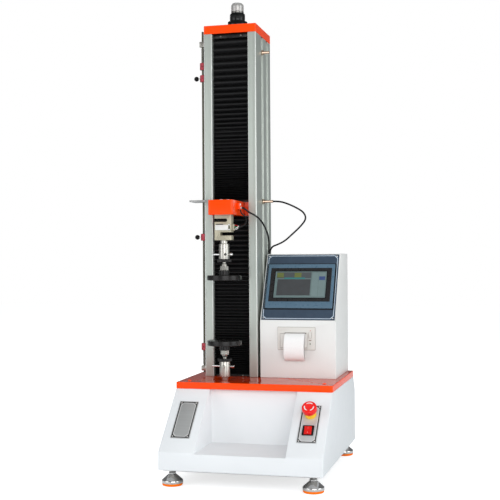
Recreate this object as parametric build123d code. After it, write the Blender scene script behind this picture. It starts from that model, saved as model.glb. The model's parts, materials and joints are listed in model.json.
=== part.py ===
from build123d import *
import math
import os

os.makedirs("parts", exist_ok=True)

# A single-column benchtop testing machine, in mm.
# X runs to the right, Y to the back and Z up; the floor is Z = 0, below the middle of the base.

# Driving dimensions
base_width = 434
base_depth = 550
leg_height = 43
band_height = 47
cabinet_height = 192
slope_run = 152
table_depth = 366
table_thickness = 18
column_centre_x = -99
column_width = 154
column_depth = 180
column_setback = 143
column_height = 982
profile_width = 24
cap_height = 24
load_axis_reach = 68
crosshead_height = 458
box_width = 216
box_gap = 8
box_front_height = 160
box_slope_rise = 189
box_slope_run = 95

# Clearances and shared small sizes
running_clearance = 0.05
seat_clearance = 0.3
overrun = 5
sheet = 2
edge_round = 2.5
sharp_round = 0.8

# Planes that follow from them
cabinet_front = -base_depth / 2
cabinet_back = base_depth / 2
cabinet_bottom = leg_height
band_top = cabinet_bottom + band_height
cabinet_top = cabinet_bottom + cabinet_height
table_top = cabinet_top + table_thickness
table_front = cabinet_front + slope_run
table_back = table_front + table_depth
column_front = table_front + column_setback
column_back_plane = column_front + column_depth
column_mid_y = column_front + column_depth / 2
column_top = table_top + column_height
column_left_x = column_centre_x - column_width / 2
column_right_x = column_centre_x + column_width / 2
slot_left = column_left_x + profile_width
slot_right = column_right_x - profile_width
load_axis_y = column_front - load_axis_reach
box_left = column_right_x + box_gap
box_right = box_left + box_width
box_mid_x = (box_left + box_right) / 2
box_front = column_front
box_bend_z = table_top + box_front_height
box_top = box_bend_z + box_slope_rise
box_top_front = box_front + box_slope_run
box_back = table_back


def block(x, y, z):
    """A box between two corners, given as pairs along each axis."""
    size = Box(x[1] - x[0], y[1] - y[0], z[1] - z[0])
    return Pos((x[0] + x[1]) / 2, (y[0] + y[1]) / 2, (z[0] + z[1]) / 2) * size


def post(x, y, z, radius):
    return Pos(x, y, (z[0] + z[1]) / 2) * Cylinder(radius, z[1] - z[0])


def bar_along_x(x, y, z, radius):
    return Pos((x[0] + x[1]) / 2, y, z) * Rot(0, 90, 0) * Cylinder(radius, x[1] - x[0])


def bar_along_y(x, y, z, radius):
    return Pos(x, (y[0] + y[1]) / 2, z) * Rot(90, 0, 0) * Cylinder(radius, y[1] - y[0])


def side_prism(outline, x):
    """A prism along X with an outline given in Y and Z."""
    face = Plane.YZ * make_face(Polyline(*outline, close=True))
    return Pos(x[0], 0, 0) * extrude(face, x[1] - x[0])


def around(centre, half):
    return (centre - half, centre + half)


def upright_edges(solid, low_y, high_y):
    """The vertical edges between two values of Y."""
    edges = solid.edges().filter_by(Axis.Z)
    return edges.filter_by(lambda edge: low_y < edge.center().Y < high_y)


# Sloped front of the cabinet: x across, s up the slope, h out of it
slope_rise = cabinet_top - band_top
slope_length = math.hypot(slope_run, slope_rise)
slope_up = Vector(0, slope_run / slope_length, slope_rise / slope_length)
slope_out = Vector(0, -slope_rise / slope_length, slope_run / slope_length)


def on_slope(x, s):
    origin = Vector(x, cabinet_front, band_top) + slope_up * s
    return Plane(origin=origin, x_dir=Vector(1, 0, 0), z_dir=slope_out)


# Tilted face of the control box, in the same way
face_length = math.hypot(box_slope_run, box_slope_rise)
face_up = Vector(0, box_slope_run / face_length, box_slope_rise / face_length)
face_out = Vector(0, -box_slope_rise / face_length, box_slope_run / face_length)


def on_face(x, s):
    origin = Vector(x, box_front, box_bend_z) + face_up * s
    return Plane(origin=origin, x_dir=Vector(1, 0, 0), z_dir=face_out)


# Base cabinet
plate_half_width = 26
plate_side_margin = 23
plate_offset_x = base_width / 2 - plate_side_margin - plate_half_width
scoop_side_margin = 21
scoop_half_width = plate_offset_x - plate_half_width - scoop_side_margin
scoop_floor_drop = 2
scoop_setback = 16
scoop_wall_y = table_front + scoop_setback
shoulder_drop = 42
bottom_flange = 15
rear_side_margin = 27
rear_opening_half = base_width / 2 - rear_side_margin
rear_opening_low = 20
rear_opening_high = 132
plate_length = 121
plate_middle_s = 105.5
plate_thickness = 1.5
estop_s = 135
estop_barrel_radius = 11
rocker_s = 84
rocker_body_half_width = 12
rocker_body_half_length = 13.5
screw_shaft_radius = 10
table_hole_clearance = 4


def cabinet_outline():
    return [
        (cabinet_front, cabinet_bottom),
        (cabinet_front, band_top),
        (table_front, cabinet_top),
        (table_back, cabinet_top),
        (cabinet_back, cabinet_top - shoulder_drop),
        (cabinet_back, cabinet_bottom),
    ]


def panel_holes():
    """The cut-outs for the emergency stop and the rocker switch."""
    depth = 2 * overrun
    barrel = Cylinder(estop_barrel_radius + seat_clearance, 2 * depth)
    window_width = 2 * (rocker_body_half_width + seat_clearance)
    window_length = 2 * (rocker_body_half_length + seat_clearance)
    window = Box(window_width, window_length, 2 * depth)
    return [on_slope(plate_offset_x, estop_s) * barrel, on_slope(plate_offset_x, rocker_s) * window]


def make_base_cabinet():
    half = base_width / 2
    outer = side_prism(cabinet_outline(), (-half, half))
    long_edges = outer.edges().filter_by(Axis.Z)
    outer = fillet(long_edges, edge_round)
    inner_face = offset(make_face(Polyline(*cabinet_outline(), close=True)), -sheet, kind=Kind.INTERSECTION)
    cavity = Pos(-half + sheet, 0, 0) * extrude(Plane.YZ * inner_face, base_width - 2 * sheet)
    shell = outer - cavity
    floor_hole = block(
        around(0, half - sheet - bottom_flange),
        (cabinet_front + sheet + bottom_flange, cabinet_back - sheet - bottom_flange),
        (cabinet_bottom - overrun, cabinet_bottom + overrun),
    )
    rear_hole = block(
        around(0, rear_opening_half),
        (cabinet_back - overrun, cabinet_back + overrun),
        (cabinet_bottom + rear_opening_low, cabinet_bottom + rear_opening_high),
    )
    scoop_floor = band_top - scoop_floor_drop
    liner = block(
        around(0, scoop_half_width + sheet),
        (cabinet_front, scoop_wall_y + sheet),
        (scoop_floor - sheet, cabinet_top),
    )
    scoop = block(
        around(0, scoop_half_width),
        (cabinet_front - overrun, scoop_wall_y),
        (scoop_floor, cabinet_top + overrun),
    )
    screw_hole = post(
        column_centre_x, column_mid_y, (cabinet_top - overrun, cabinet_top + overrun),
        screw_shaft_radius + table_hole_clearance,
    )
    shell = shell - floor_hole - rear_hole + (liner & outer) - scoop - screw_hole
    for hole in panel_holes():
        shell -= hole
    return shell


# Bottom tray and rear panel
tray_thickness = 3
tray_inset = 10
foot_inset_x = 30
foot_inset_y = 29
foot_x = base_width / 2 - foot_inset_x
foot_y = base_depth / 2 - foot_inset_y
stud_radius = 6
stud_hole_clearance = 0.06
tray_boss_radius = 12
tray_boss_height = 10
rear_lap = 8
vent_count = 12
vent_width = 4
vent_height = 50
vent_pitch = 10
vent_centre_x = 60
inlet_side_margin = 87
inlet_x = inlet_side_margin - base_width / 2
inlet_z = 105
inlet_half_width = 24
inlet_half_height = 14
inlet_flange = 4
inlet_depth = 28
inlet_wall = 3
inlet_pin_pitch = 8
inlet_pin_length = 19


def make_bottom_tray():
    tray = block(
        around(0, base_width / 2 - tray_inset),
        (cabinet_front + tray_inset, cabinet_back - tray_inset),
        (cabinet_bottom - tray_thickness, cabinet_bottom),
    )
    for x in (-foot_x, foot_x):
        for y in (-foot_y, foot_y):
            tray += post(x, y, (cabinet_bottom - tray_thickness, cabinet_bottom + tray_boss_height),
                         tray_boss_radius)
    for x in (-foot_x, foot_x):
        for y in (-foot_y, foot_y):
            tray -= post(x, y, around(cabinet_bottom, tray_boss_height + overrun),
                         stud_radius + stud_hole_clearance)
    return tray


def make_rear_panel():
    back = cabinet_back - sheet
    panel = block(
        around(0, rear_opening_half + rear_lap),
        (back - sheet, back),
        (cabinet_bottom + rear_opening_low - rear_lap, cabinet_bottom + rear_opening_high + rear_lap),
    )
    inlet_hole = block(
        around(inlet_x, inlet_half_width + seat_clearance),
        (back - overrun, back + overrun),
        around(inlet_z, inlet_half_height + seat_clearance),
    )
    panel -= inlet_hole
    first_x = vent_centre_x - (vent_count - 1) * vent_pitch / 2
    for i in range(vent_count):
        panel -= block(
            around(first_x + i * vent_pitch, vent_width / 2),
            (back - overrun, back + overrun),
            around(inlet_z, vent_height / 2),
        )
    return panel


def make_mains_inlet():
    back = cabinet_back - sheet
    body = block(
        around(inlet_x, inlet_half_width),
        (back - inlet_depth, back),
        around(inlet_z, inlet_half_height),
    )
    rim = block(
        around(inlet_x, inlet_half_width + inlet_flange),
        (back, back + sheet),
        around(inlet_z, inlet_half_height + inlet_flange),
    )
    socket = block(
        around(inlet_x, inlet_half_width - inlet_flange),
        (back - inlet_depth + inlet_wall, back + overrun),
        around(inlet_z, inlet_half_height - inlet_wall),
    )
    inlet = body + rim - socket
    for i in (-1, 0, 1):
        inlet += bar_along_y(inlet_x + i * inlet_pin_pitch,
                             (back - inlet_depth, back - inlet_depth + inlet_pin_length), inlet_z, sheet)
    return inlet


# Table plate
table_round = 1.5


def make_table_plate():
    plate = block(around(0, base_width / 2), (table_front, table_back), (cabinet_top, table_top))
    plate = fillet(plate.edges().filter_by(Axis.Z), edge_round)
    plate = fillet(plate.edges().group_by(Axis.Z)[-1], table_round)
    plate -= post(column_centre_x, column_mid_y, (cabinet_top - overrun, table_top + overrun),
                  screw_shaft_radius + table_hole_clearance)
    plate -= post(column_centre_x, load_axis_y, (cabinet_top - overrun, table_top + overrun),
                  lower_spigot_radius)
    return plate


# Column: two grooved profiles, a back sheet and two end blocks
groove_width = 20
groove_depth = 5.5
groove_starts = [68, 128]
profile_wall = 4


def make_profile(side):
    outer = column_left_x if side < 0 else column_right_x
    inner = outer - side * profile_width
    low, high = min(outer, inner), max(outer, inner)
    bar = block((low, high), (column_front, column_back_plane), (table_top, column_top))
    bar = fillet(upright_edges(bar, column_front - overrun, column_front + overrun), edge_round)
    for start in groove_starts:
        reach = outer - side * groove_depth
        cut = (min(reach, outer + side * overrun), max(reach, outer + side * overrun))
        y = column_front + start
        bar -= block(cut, (y, y + groove_width), (table_top - overrun, column_top + overrun))
    chamber_x = (low + profile_wall, high - profile_wall)
    deep_x = (low + profile_wall + (groove_depth if side < 0 else 0),
              high - profile_wall - (groove_depth if side > 0 else 0))
    stops = [column_front]
    for start in groove_starts:
        stops += [column_front + start, column_front + start + groove_width]
    stops.append(column_back_plane)
    for i, (y_low, y_high) in enumerate(zip(stops, stops[1:])):
        x = deep_x if i % 2 else chamber_x
        bar -= block(x, (y_low + profile_wall / 2, y_high - profile_wall / 2),
                     (table_top - overrun, column_top + overrun))
    return bar


def make_column_back():
    return block(
        (column_left_x + profile_wall, column_right_x - profile_wall),
        (column_back_plane, column_back_plane + sheet),
        (table_top, column_top),
    )


guide_side_gap = 21
guide_half_spacing = column_width / 2 - profile_width - guide_side_gap
guide_radius = 10
end_block_height = 22
slot_cover_setback = 14
bellows_depth = 18
bellows_front = column_front + slot_cover_setback
bellows_back = bellows_front + bellows_depth
upper_lip_height = 11
lower_lip_height = 5
screw_bearing_radius = 17


def make_end_blocks():
    spans = [(table_top, table_top + end_block_height), (column_top - end_block_height, column_top)]
    lips = [(table_top, table_top + lower_lip_height), (column_top - upper_lip_height, column_top)]
    made = []
    for span, lip in zip(spans, lips):
        end = block((slot_left, slot_right), (bellows_back, column_back_plane - profile_wall), span)
        end += block((slot_left, slot_right), (bellows_front, bellows_back), lip)
        for x in (-guide_half_spacing, guide_half_spacing):
            end -= post(column_centre_x + x, column_mid_y, (span[0] - overrun, span[1] + overrun),
                        guide_radius)
        end -= post(column_centre_x, column_mid_y, (span[0] - overrun, span[1] + overrun),
                    screw_bearing_radius)
        ring = post(column_centre_x, column_mid_y, span, screw_bearing_radius)
        ring -= post(column_centre_x, column_mid_y, (span[0] - overrun, span[1] + overrun),
                     screw_shaft_radius + running_clearance)
        made += [end, ring]
    return Compound(made)


def make_guide_rods():
    return Compound([
        post(column_centre_x + x, column_mid_y, (table_top, column_top), guide_radius)
        for x in (-guide_half_spacing, guide_half_spacing)
    ])


def make_column_cap():
    cap = block((column_left_x, column_right_x), (column_front, column_back_plane + sheet),
                (column_top, column_top + cap_height))
    cap = fillet(cap.edges().filter_by(Axis.Z), edge_round)
    cap = fillet(cap.edges().group_by(Axis.Z)[-1], sharp_round)
    cavity = block(
        (column_left_x + sheet, column_right_x - sheet),
        (column_front + sheet, column_back_plane),
        (column_top - overrun, column_top + cap_height - sheet),
    )
    return cap - cavity


# Drive under the table: motor, pulleys and belt
pulley_radius = 24
pulley_height = 22
pulley_rim = 4
pulley_rim_height = 2
pulley_drop = 46
pulley_z = cabinet_top - pulley_drop
motor_x = 30
motor_half = 40
motor_lift = 20
motor_bottom = cabinet_bottom + motor_lift
motor_height = 105
motor_round = 5
motor_flange = 12
motor_boss_radius = 14
motor_boss_height = 2
motor_shaft_radius = 7
belt_thickness = 2
belt_width = 16


def flanged_pulley(x, bore_radius):
    wheel = post(x, column_mid_y, (pulley_z, pulley_z + pulley_height), pulley_radius)
    for z in (pulley_z, pulley_z + pulley_height - pulley_rim_height):
        wheel += post(x, column_mid_y, (z, z + pulley_rim_height), pulley_radius + pulley_rim)
    wheel -= post(x, column_mid_y, (pulley_z - overrun, pulley_z + pulley_height + overrun), bore_radius)
    return wheel


def make_lead_screw():
    return post(column_centre_x, column_mid_y, (pulley_z, column_top), screw_shaft_radius)


def make_screw_pulley():
    return flanged_pulley(column_centre_x, screw_shaft_radius)


def make_motor_pulley():
    wheel = flanged_pulley(motor_x, motor_shaft_radius)
    shaft = post(motor_x, column_mid_y, (motor_bottom + motor_height, pulley_z + pulley_height),
                 motor_shaft_radius)
    return wheel + shaft


def make_motor():
    can = block(around(motor_x, motor_half), around(column_mid_y, motor_half),
                (motor_bottom, motor_bottom + motor_height - motor_boss_height))
    can = fillet(can.edges().filter_by(Axis.Z), motor_round)
    bracket = block(around(motor_x, motor_half + motor_flange),
                    around(column_mid_y, motor_half + motor_flange),
                    (cabinet_bottom, cabinet_bottom + tray_thickness))
    stand = block(around(motor_x, motor_half - sheet), around(column_mid_y, motor_half - sheet),
                  (cabinet_bottom + tray_thickness, motor_bottom))
    boss = post(motor_x, column_mid_y,
                (motor_bottom + motor_height - motor_boss_height,
                 motor_bottom + motor_height - seat_clearance), motor_boss_radius)
    return can + bracket + stand + boss


def make_drive_belt():
    low = pulley_z + (pulley_height - belt_width) / 2
    inner_radius = pulley_radius + seat_clearance

    def loop(radius):
        ring = block((column_centre_x, motor_x), around(column_mid_y, radius), (low, low + belt_width))
        for x in (column_centre_x, motor_x):
            ring += post(x, column_mid_y, (low, low + belt_width), radius)
        return ring

    return loop(inner_radius + belt_thickness) - loop(inner_radius)


# Electronics on the tray
supply_size = [110, 160, 45]
supply_side_margin = 32
supply_x = supply_side_margin + supply_size[0] / 2 - base_width / 2
supply_y = 0
board_thickness = 1.6
board_standoff = 10
board_size = [120, 90]
board_side_margin = 27
board_x = base_width / 2 - board_side_margin - board_size[0] / 2
board_y = 20
chip_half = 12
standoff_inset = 12
chip_height = 6
standoff_radius = 3


def make_electronics():
    supply = block(around(supply_x, supply_size[0] / 2), around(supply_y, supply_size[1] / 2),
                   (cabinet_bottom, cabinet_bottom + supply_size[2]))
    board_z = cabinet_bottom + board_standoff
    board = block(around(board_x, board_size[0] / 2), around(board_y, board_size[1] / 2),
                  (board_z, board_z + board_thickness))
    for x in around(board_x, board_size[0] / 2 - standoff_inset):
        for y in around(board_y, board_size[1] / 2 - standoff_inset):
            board += post(x, y, (cabinet_bottom, board_z), standoff_radius)
    board += block(around(board_x, chip_half), around(board_y, chip_half),
                   (board_z + board_thickness, board_z + board_thickness + chip_height))
    return Compound([supply, board])


# Crosshead: carriage with its arm, bushings, cover and striker arm
crosshead_bottom = table_top + crosshead_height
crosshead_band = 41
bellows_side_gap = 1
shield_margin = 2.5
shield_rise = 5
shield_thickness = 8
ledge_thickness = 1.5
shield_low = crosshead_bottom - shield_margin
shield_high = crosshead_bottom + crosshead_band + shield_rise
carriage_side_gap = 3
carriage_half_width = column_width / 2 - profile_width - carriage_side_gap
carriage_half_depth = 30
carriage_below = 22
carriage_above = 80
carriage_low = crosshead_bottom - carriage_below
carriage_high = crosshead_bottom + carriage_above
arm_half_width = 29
arm_reach = 30
arm_rise = 3
cover_half_width = 35
cover_overhang = 40
cover_back_gap = 2
cover_front = load_axis_y - cover_overhang
cover_back = bellows_back - cover_back_gap
cover_wall = 1.5
cover_round = 5
bush_wall = 3
bush_radius = carriage_half_width - guide_half_spacing - bush_wall
bush_length = 34
nut_radius = 14
nut_length = 60


def make_carriage():
    lower = crosshead_bottom + arm_rise
    upper = crosshead_bottom + crosshead_band - cover_wall
    core = block(around(column_centre_x, carriage_half_width),
                 around(column_mid_y, carriage_half_depth), (carriage_low, carriage_high))
    shield_x = (slot_left + bellows_side_gap, slot_right - bellows_side_gap)
    shield = block(shield_x, (bellows_back, bellows_back + shield_thickness), (shield_low, shield_high))
    for low in (shield_low, shield_high - ledge_thickness):
        shield += block(shield_x, (bellows_front, bellows_back), (low, low + ledge_thickness))
    arm = block(around(column_centre_x, arm_half_width),
                (load_axis_y - arm_reach, column_mid_y), (lower, upper))
    body = core + shield + arm
    for x in (-guide_half_spacing, guide_half_spacing):
        body -= post(column_centre_x + x, column_mid_y, (carriage_low - overrun, carriage_high + overrun),
                     bush_radius)
    body -= post(column_centre_x, column_mid_y, (carriage_low - overrun, carriage_high + overrun),
                 nut_radius)
    return body


def make_carriage_bushings():
    made = []
    for x in (-guide_half_spacing, guide_half_spacing):
        for low in (carriage_low, carriage_high - bush_length):
            bush = post(column_centre_x + x, column_mid_y, (low, low + bush_length), bush_radius)
            bush -= post(column_centre_x + x, column_mid_y, (low - overrun, low + bush_length + overrun),
                         guide_radius + running_clearance)
            made.append(bush)
    nut = post(column_centre_x, column_mid_y, (carriage_low, carriage_low + nut_length), nut_radius)
    nut -= post(column_centre_x, column_mid_y,
                (carriage_low - overrun, carriage_low + nut_length + overrun),
                screw_shaft_radius + running_clearance)
    made.append(nut)
    return Compound(made)


saddle_depth = 8
saddle_half_width = 9
saddle_lift = 16
saddle_height = 18
saddle_low = crosshead_bottom + saddle_lift
saddle_high = saddle_low + saddle_height
saddle_reach = 52
saddle_y = column_front - saddle_reach
cover_screw_radius = 3.2
cover_screw_head = 2.5
cover_screw_offset = 4.5


def make_crosshead_cover():
    x = around(column_centre_x, cover_half_width)
    z = (crosshead_bottom, crosshead_bottom + crosshead_band)
    cover = block(x, (cover_front, cover_back), z)
    cover = fillet(upright_edges(cover, cover_front - overrun, cover_front + overrun), cover_round)
    cover = fillet(cover.faces().sort_by(Axis.Y)[0].edges().group_by(Axis.Z)[-1], sharp_round)
    cavity = block(
        (x[0] + cover_wall, x[1] - cover_wall),
        (cover_front + cover_wall, cover_back + overrun),
        (z[0] - overrun, z[1] - cover_wall),
    )
    cavity = fillet(upright_edges(cavity, cover_front, cover_front + overrun), cover_round - cover_wall)
    saddle = block((x[1], x[1] + saddle_depth), around(saddle_y, saddle_half_width),
                   (saddle_low, saddle_high))
    saddle = fillet(saddle.edges().filter_by(Axis.X), edge_round)
    pieces = [cover - cavity, saddle]
    for side in (-1, 1):
        y = saddle_y + side * cover_screw_offset
        z_screw = (saddle_low + saddle_high) / 2 - side * cover_screw_offset
        pieces.append(bar_along_x((x[1] + saddle_depth, x[1] + saddle_depth + cover_screw_head), y, z_screw,
                                  cover_screw_radius))
    return Compound(pieces)


striker_thickness = 5
striker_overhang = 38
striker_lap = 9
striker_reach = 26
striker_gap = 3
striker_bolt_radius = 5
striker_bolt_height = 1.5
striker_bolt_inset = 12
striker_bolt_pitch = 20
striker_left = column_left_x - striker_overhang
striker_right = column_centre_x + striker_lap
striker_front = column_front - striker_reach
rod_offset = 9
rod_setback = 20
rod_x = column_left_x - rod_offset
rod_y = column_front + rod_setback
rod_radius = 3
rod_hole_radius = 4.5
striker_side_gap = 2
striker_tail = 14


def make_striker_arm():
    z = (crosshead_bottom + crosshead_band, crosshead_bottom + crosshead_band + striker_thickness)
    cross = block((striker_left, striker_right), (striker_front, column_front - striker_gap), z)
    tail = block((striker_left, column_left_x - striker_side_gap),
                 (striker_front, rod_y + striker_tail), z)
    arm = cross + tail
    corners = arm.edges().filter_by(Axis.Z).sort_by(Axis.X)[:2]
    arm = fillet(corners, edge_round)
    arm -= post(rod_x, rod_y, (z[0] - overrun, z[1] + overrun), rod_hole_radius)
    pieces = [arm]
    for x in (striker_right - striker_bolt_inset - striker_bolt_pitch, striker_right - striker_bolt_inset):
        pieces.append(post(x, (striker_front + column_front - striker_gap) / 2,
                           (z[1], z[1] + striker_bolt_height), striker_bolt_radius))
    return Compound(pieces)


# Bellows: zigzag sheets whose pleats tighten away from the column's ends
bellows_sheet = 1
upper_pleat_count = 48
upper_ratio_share = 0.968
lower_pleat_count = 50
lower_ratio_share = 0.975


def pleat_levels(start, end, count, ratio):
    """Heights from start to end; each step is the last one times the ratio."""
    first = (end - start) * (1 - ratio) / (1 - ratio ** (2 * count))
    levels = [start]
    for i in range(2 * count):
        levels.append(levels[-1] + first * ratio ** i)
    levels[-1] = end
    return levels


def make_bellows(start, end, count, ratio):
    levels = pleat_levels(start, end, count, math.sqrt(ratio))
    front = [(bellows_front if i % 2 else bellows_back - bellows_sheet, z) for i, z in enumerate(levels)]
    back = [(y + bellows_sheet, z) for y, z in reversed(front)]
    return side_prism(front + back, (slot_left + bellows_side_gap, slot_right - bellows_side_gap))


# Load cell: an S-shaped block with two slots and a terminal block
cell_half_width = 24
cell_half_thickness = 13
cell_height = 73
cell_top = crosshead_bottom + arm_rise
cell_bottom = cell_top - cell_height
cell_slot = 9
upper_slot_rise = 51
upper_slot_reach = 36.5
lower_slot_rise = 13
lower_slot_reach = 33
terminal_width = 6
terminal_half_depth = 6
terminal_rise = 26
terminal_height = 19


def make_load_cell():
    x = around(column_centre_x, cell_half_width)
    y = around(load_axis_y, cell_half_thickness)
    cell = block(x, y, (cell_bottom, cell_top))
    cell = fillet(cell.edges().filter_by(Axis.Y), sharp_round)
    cut_y = (y[0] - overrun, y[1] + overrun)
    slots = [(upper_slot_rise, upper_slot_reach, -1), (lower_slot_rise, lower_slot_reach, 1)]
    for rise, reach, side in slots:
        low = cell_bottom + rise
        open_x = x[0] - overrun if side < 0 else x[1] + overrun
        end_x = column_centre_x - side * (reach - cell_half_width - cell_slot / 2)
        cut = block((min(open_x, end_x), max(open_x, end_x)), cut_y, (low, low + cell_slot))
        cut += bar_along_y(end_x, cut_y, low + cell_slot / 2, cell_slot / 2)
        cell -= cut
    terminal = block((x[1], x[1] + terminal_width), around(load_axis_y, terminal_half_depth),
                     (cell_bottom + terminal_rise, cell_bottom + terminal_rise + terminal_height))
    terminal = fillet(terminal.edges().filter_by(Axis.X), edge_round)
    return Compound([cell, terminal])


# Fixtures: adapter, cross pin, locknut, stem, hex nut, hub and platen.
# Each is made with the adapter's mouth at the origin and the platen in the +Z direction.
sleeve_radius = 14.5
sleeve_length = 43
stem_radius = 5
stem_depth = 30
pin_depth = 13.5
pin_radius = 2.4
lower_pin_reach = 37
lower_handle_start = 15
lower_handle_end = 27
lower_handle_radius = 4.6
upper_pin_reach = 31
upper_ball_x = 20
upper_ball_radius = 5
locknut_radius = 19.8
locknut_height = 8
hex_gap = 11
hex_height = 11.5
hex_radius = 12
hex_chamfer = 0.7
hub_radius = 14
hub_height = 14
platen_radius = 48
platen_thickness = 14
platen_round = 1.5
upper_neck_radius = 10
lower_spigot_radius = 9.3
lower_spigot_step = 8
lower_spigot_depth = 12
set_screw_radius = 4.5
set_screw_proud = 2.5
washer_top_radius = 5.6
washer_bottom_radius = 8
washer_height = 8

upper_neck_length = 10
upper_mouth = cell_bottom - sleeve_length - upper_neck_length
lower_mouth = table_top + lower_spigot_step + sleeve_length
upper_place = Pos(column_centre_x, load_axis_y, upper_mouth) * Rot(180, 0, 0)
lower_place = Pos(column_centre_x, load_axis_y, lower_mouth)


def make_adapter(tail_radius, tail):
    body = post(0, 0, (-sleeve_length, 0), sleeve_radius)
    body = chamfer(body.edges().group_by(Axis.Z)[0], sharp_round)
    body += post(0, 0, (-sleeve_length - tail, -sleeve_length), tail_radius)
    body -= post(0, 0, (-stem_depth - seat_clearance, overrun), stem_radius + seat_clearance / 2)
    reach = sleeve_radius + overrun
    body -= bar_along_x((-reach, reach), 0, -pin_depth, pin_radius + running_clearance)
    return body


def make_set_screw():
    """The screw in the front of the lower sleeve."""
    y = (-sleeve_radius - set_screw_proud, -sleeve_radius + set_screw_proud)
    return bar_along_y(0, y, -pin_depth, set_screw_radius)


def make_handled_pin():
    pin = bar_along_x((-lower_pin_reach, lower_handle_start), 0, -pin_depth, pin_radius)
    handle = bar_along_x((lower_handle_start, lower_handle_end), 0, -pin_depth, lower_handle_radius)
    handle = fillet(handle.edges(), sharp_round)
    return pin + handle


def make_ball_pin():
    pin = bar_along_x((-upper_pin_reach, upper_ball_x), 0, -pin_depth, pin_radius)
    return pin + Pos(upper_ball_x, 0, -pin_depth) * Sphere(upper_ball_radius)


def make_locknut():
    nut = post(0, 0, (seat_clearance, seat_clearance + locknut_height), locknut_radius)
    nut = chamfer(nut.edges(), sharp_round)
    nut -= post(0, 0, (-overrun, locknut_height + overrun), stem_radius + running_clearance)
    return nut


def make_platen():
    hex_low = locknut_height + hex_gap
    hub_low = hex_low + hex_height
    disc_low = hub_low + hub_height
    stem = post(0, 0, (-stem_depth, disc_low), stem_radius)
    reach = stem_radius + overrun
    stem -= bar_along_x((-reach, reach), 0, -pin_depth, pin_radius + running_clearance)
    hexagon = Pos(0, 0, hex_low) * extrude(RegularPolygon(hex_radius, 6), hex_height)
    hexagon &= chamfer_drum(hex_low)
    cone = Pos(0, 0, hex_low - washer_height / 2) * Cone(washer_top_radius, washer_bottom_radius,
                                                         washer_height)
    hub = post(0, 0, (hub_low, disc_low), hub_radius)
    disc = post(0, 0, (disc_low, disc_low + platen_thickness), platen_radius)
    disc = fillet(disc.edges(), platen_round)
    bore = post(0, 0, (-overrun, disc_low), stem_radius)
    return Compound([stem, hexagon - bore, cone - bore, hub + disc - bore])


def chamfer_drum(low):
    drum = post(0, 0, (low, low + hex_height), hex_radius)
    return chamfer(drum.edges(), hex_chamfer)


# Limit rod on the column's left side
rod_above = 12
rod_lift = 9
bracket_half_depth = 7
bracket_height = 15
bracket_width = 17.5
upper_bracket_drop = 33
lower_bracket_lift = 14
collar_height = 20
collar_radius = 8.4
collar_round = 1.6
upper_end_collar_drop = 99
lower_end_collar_lift = 73
upper_collar_gap = 35
lower_collar_drop = 69
rod_travel = 3
spring_radius = 5
knob_radius = 7
knob_reach = 19
knob_screw_radius = 1.8
knob_neck_radius = 3.2
knob_neck_length = 3.5
rod_top = column_top + rod_above
rod_bottom = table_top + rod_lift
bracket_left = column_left_x - bracket_width
upper_bracket_low = column_top - upper_bracket_drop
lower_bracket_low = table_top + lower_bracket_lift
upper_end_collar_low = column_top - upper_end_collar_drop
lower_end_collar_low = table_top + lower_end_collar_lift
upper_collar_low = upper_end_collar_low - upper_collar_gap
lower_collar_low = crosshead_bottom - lower_collar_drop


def make_limit_brackets():
    made = []
    for low in (upper_bracket_low, lower_bracket_low):
        body = block((bracket_left, column_left_x), around(rod_y, bracket_half_depth),
                     (low, low + bracket_height))
        body = fillet(body.edges().filter_by(Axis.Z).group_by(Axis.X)[0], edge_round)
        body -= post(rod_x, rod_y, (low - overrun, low + bracket_height + overrun),
                     rod_radius + running_clearance)
        made.append(body)
    return Compound(made)


def rod_sleeve(low, high, radius):
    """A ring that sits on the limit rod."""
    ring = post(rod_x, rod_y, (low, high), radius)
    if radius == collar_radius:
        ring = fillet(ring.edges(), collar_round)
    return ring - post(rod_x, rod_y, (low - overrun, high + overrun), rod_radius + running_clearance)


def make_limit_rod():
    rod = post(rod_x, rod_y, (rod_bottom, rod_top), rod_radius)
    upper_collar_top = upper_end_collar_low + collar_height
    return Compound([
        rod,
        rod_sleeve(upper_end_collar_low, upper_collar_top, collar_radius),
        rod_sleeve(lower_end_collar_low, lower_end_collar_low + collar_height, collar_radius),
        rod_sleeve(upper_collar_top, upper_bracket_low - rod_travel - seat_clearance, spring_radius),
        rod_sleeve(lower_bracket_low + bracket_height + rod_travel + seat_clearance,
                   lower_end_collar_low, spring_radius),
    ])


def make_limit_collar(low):
    middle = low + collar_height / 2
    ball_x = rod_x - knob_reach
    ring = rod_sleeve(low, low + collar_height, collar_radius)
    screw = bar_along_x((ball_x, rod_x - collar_radius + knob_screw_radius), rod_y, middle,
                        knob_screw_radius)
    ring -= bar_along_x((ball_x, rod_x - rod_radius - sharp_round), rod_y, middle, knob_screw_radius)
    ball = Pos(ball_x, rod_y, middle) * Sphere(knob_radius)
    neck = Pos(ball_x + knob_radius, rod_y, middle) * Rot(0, 90, 0) * Cone(
        knob_neck_radius, knob_screw_radius, knob_neck_length)
    return Compound([ring, ball + neck + screw])


# Side fittings and the lamp on the cap
fitting_y = column_front + groove_starts[0] + groove_width / 2
upper_fitting_drop = 46
lower_fitting_lift = 44
upper_fitting_z = column_top - upper_fitting_drop
lower_fitting_z = crosshead_bottom + lower_fitting_lift
fitting_nut_radius = 7
fitting_nut_proud = 4
fitting_radius = 4
upper_fitting_reach = 22
lower_fitting_reach = 30


def make_side_fittings():
    made = []
    root = column_right_x - groove_depth
    for z, reach in ((upper_fitting_z, upper_fitting_reach), (lower_fitting_z, lower_fitting_reach)):
        shoulder = column_right_x + fitting_nut_proud
        nut = bar_along_x((root, shoulder), fitting_y, z, fitting_nut_radius)
        barrel = bar_along_x((shoulder, column_right_x + reach), fitting_y, z, fitting_radius)
        made.append(nut + barrel)
    return Compound(made)


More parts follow.
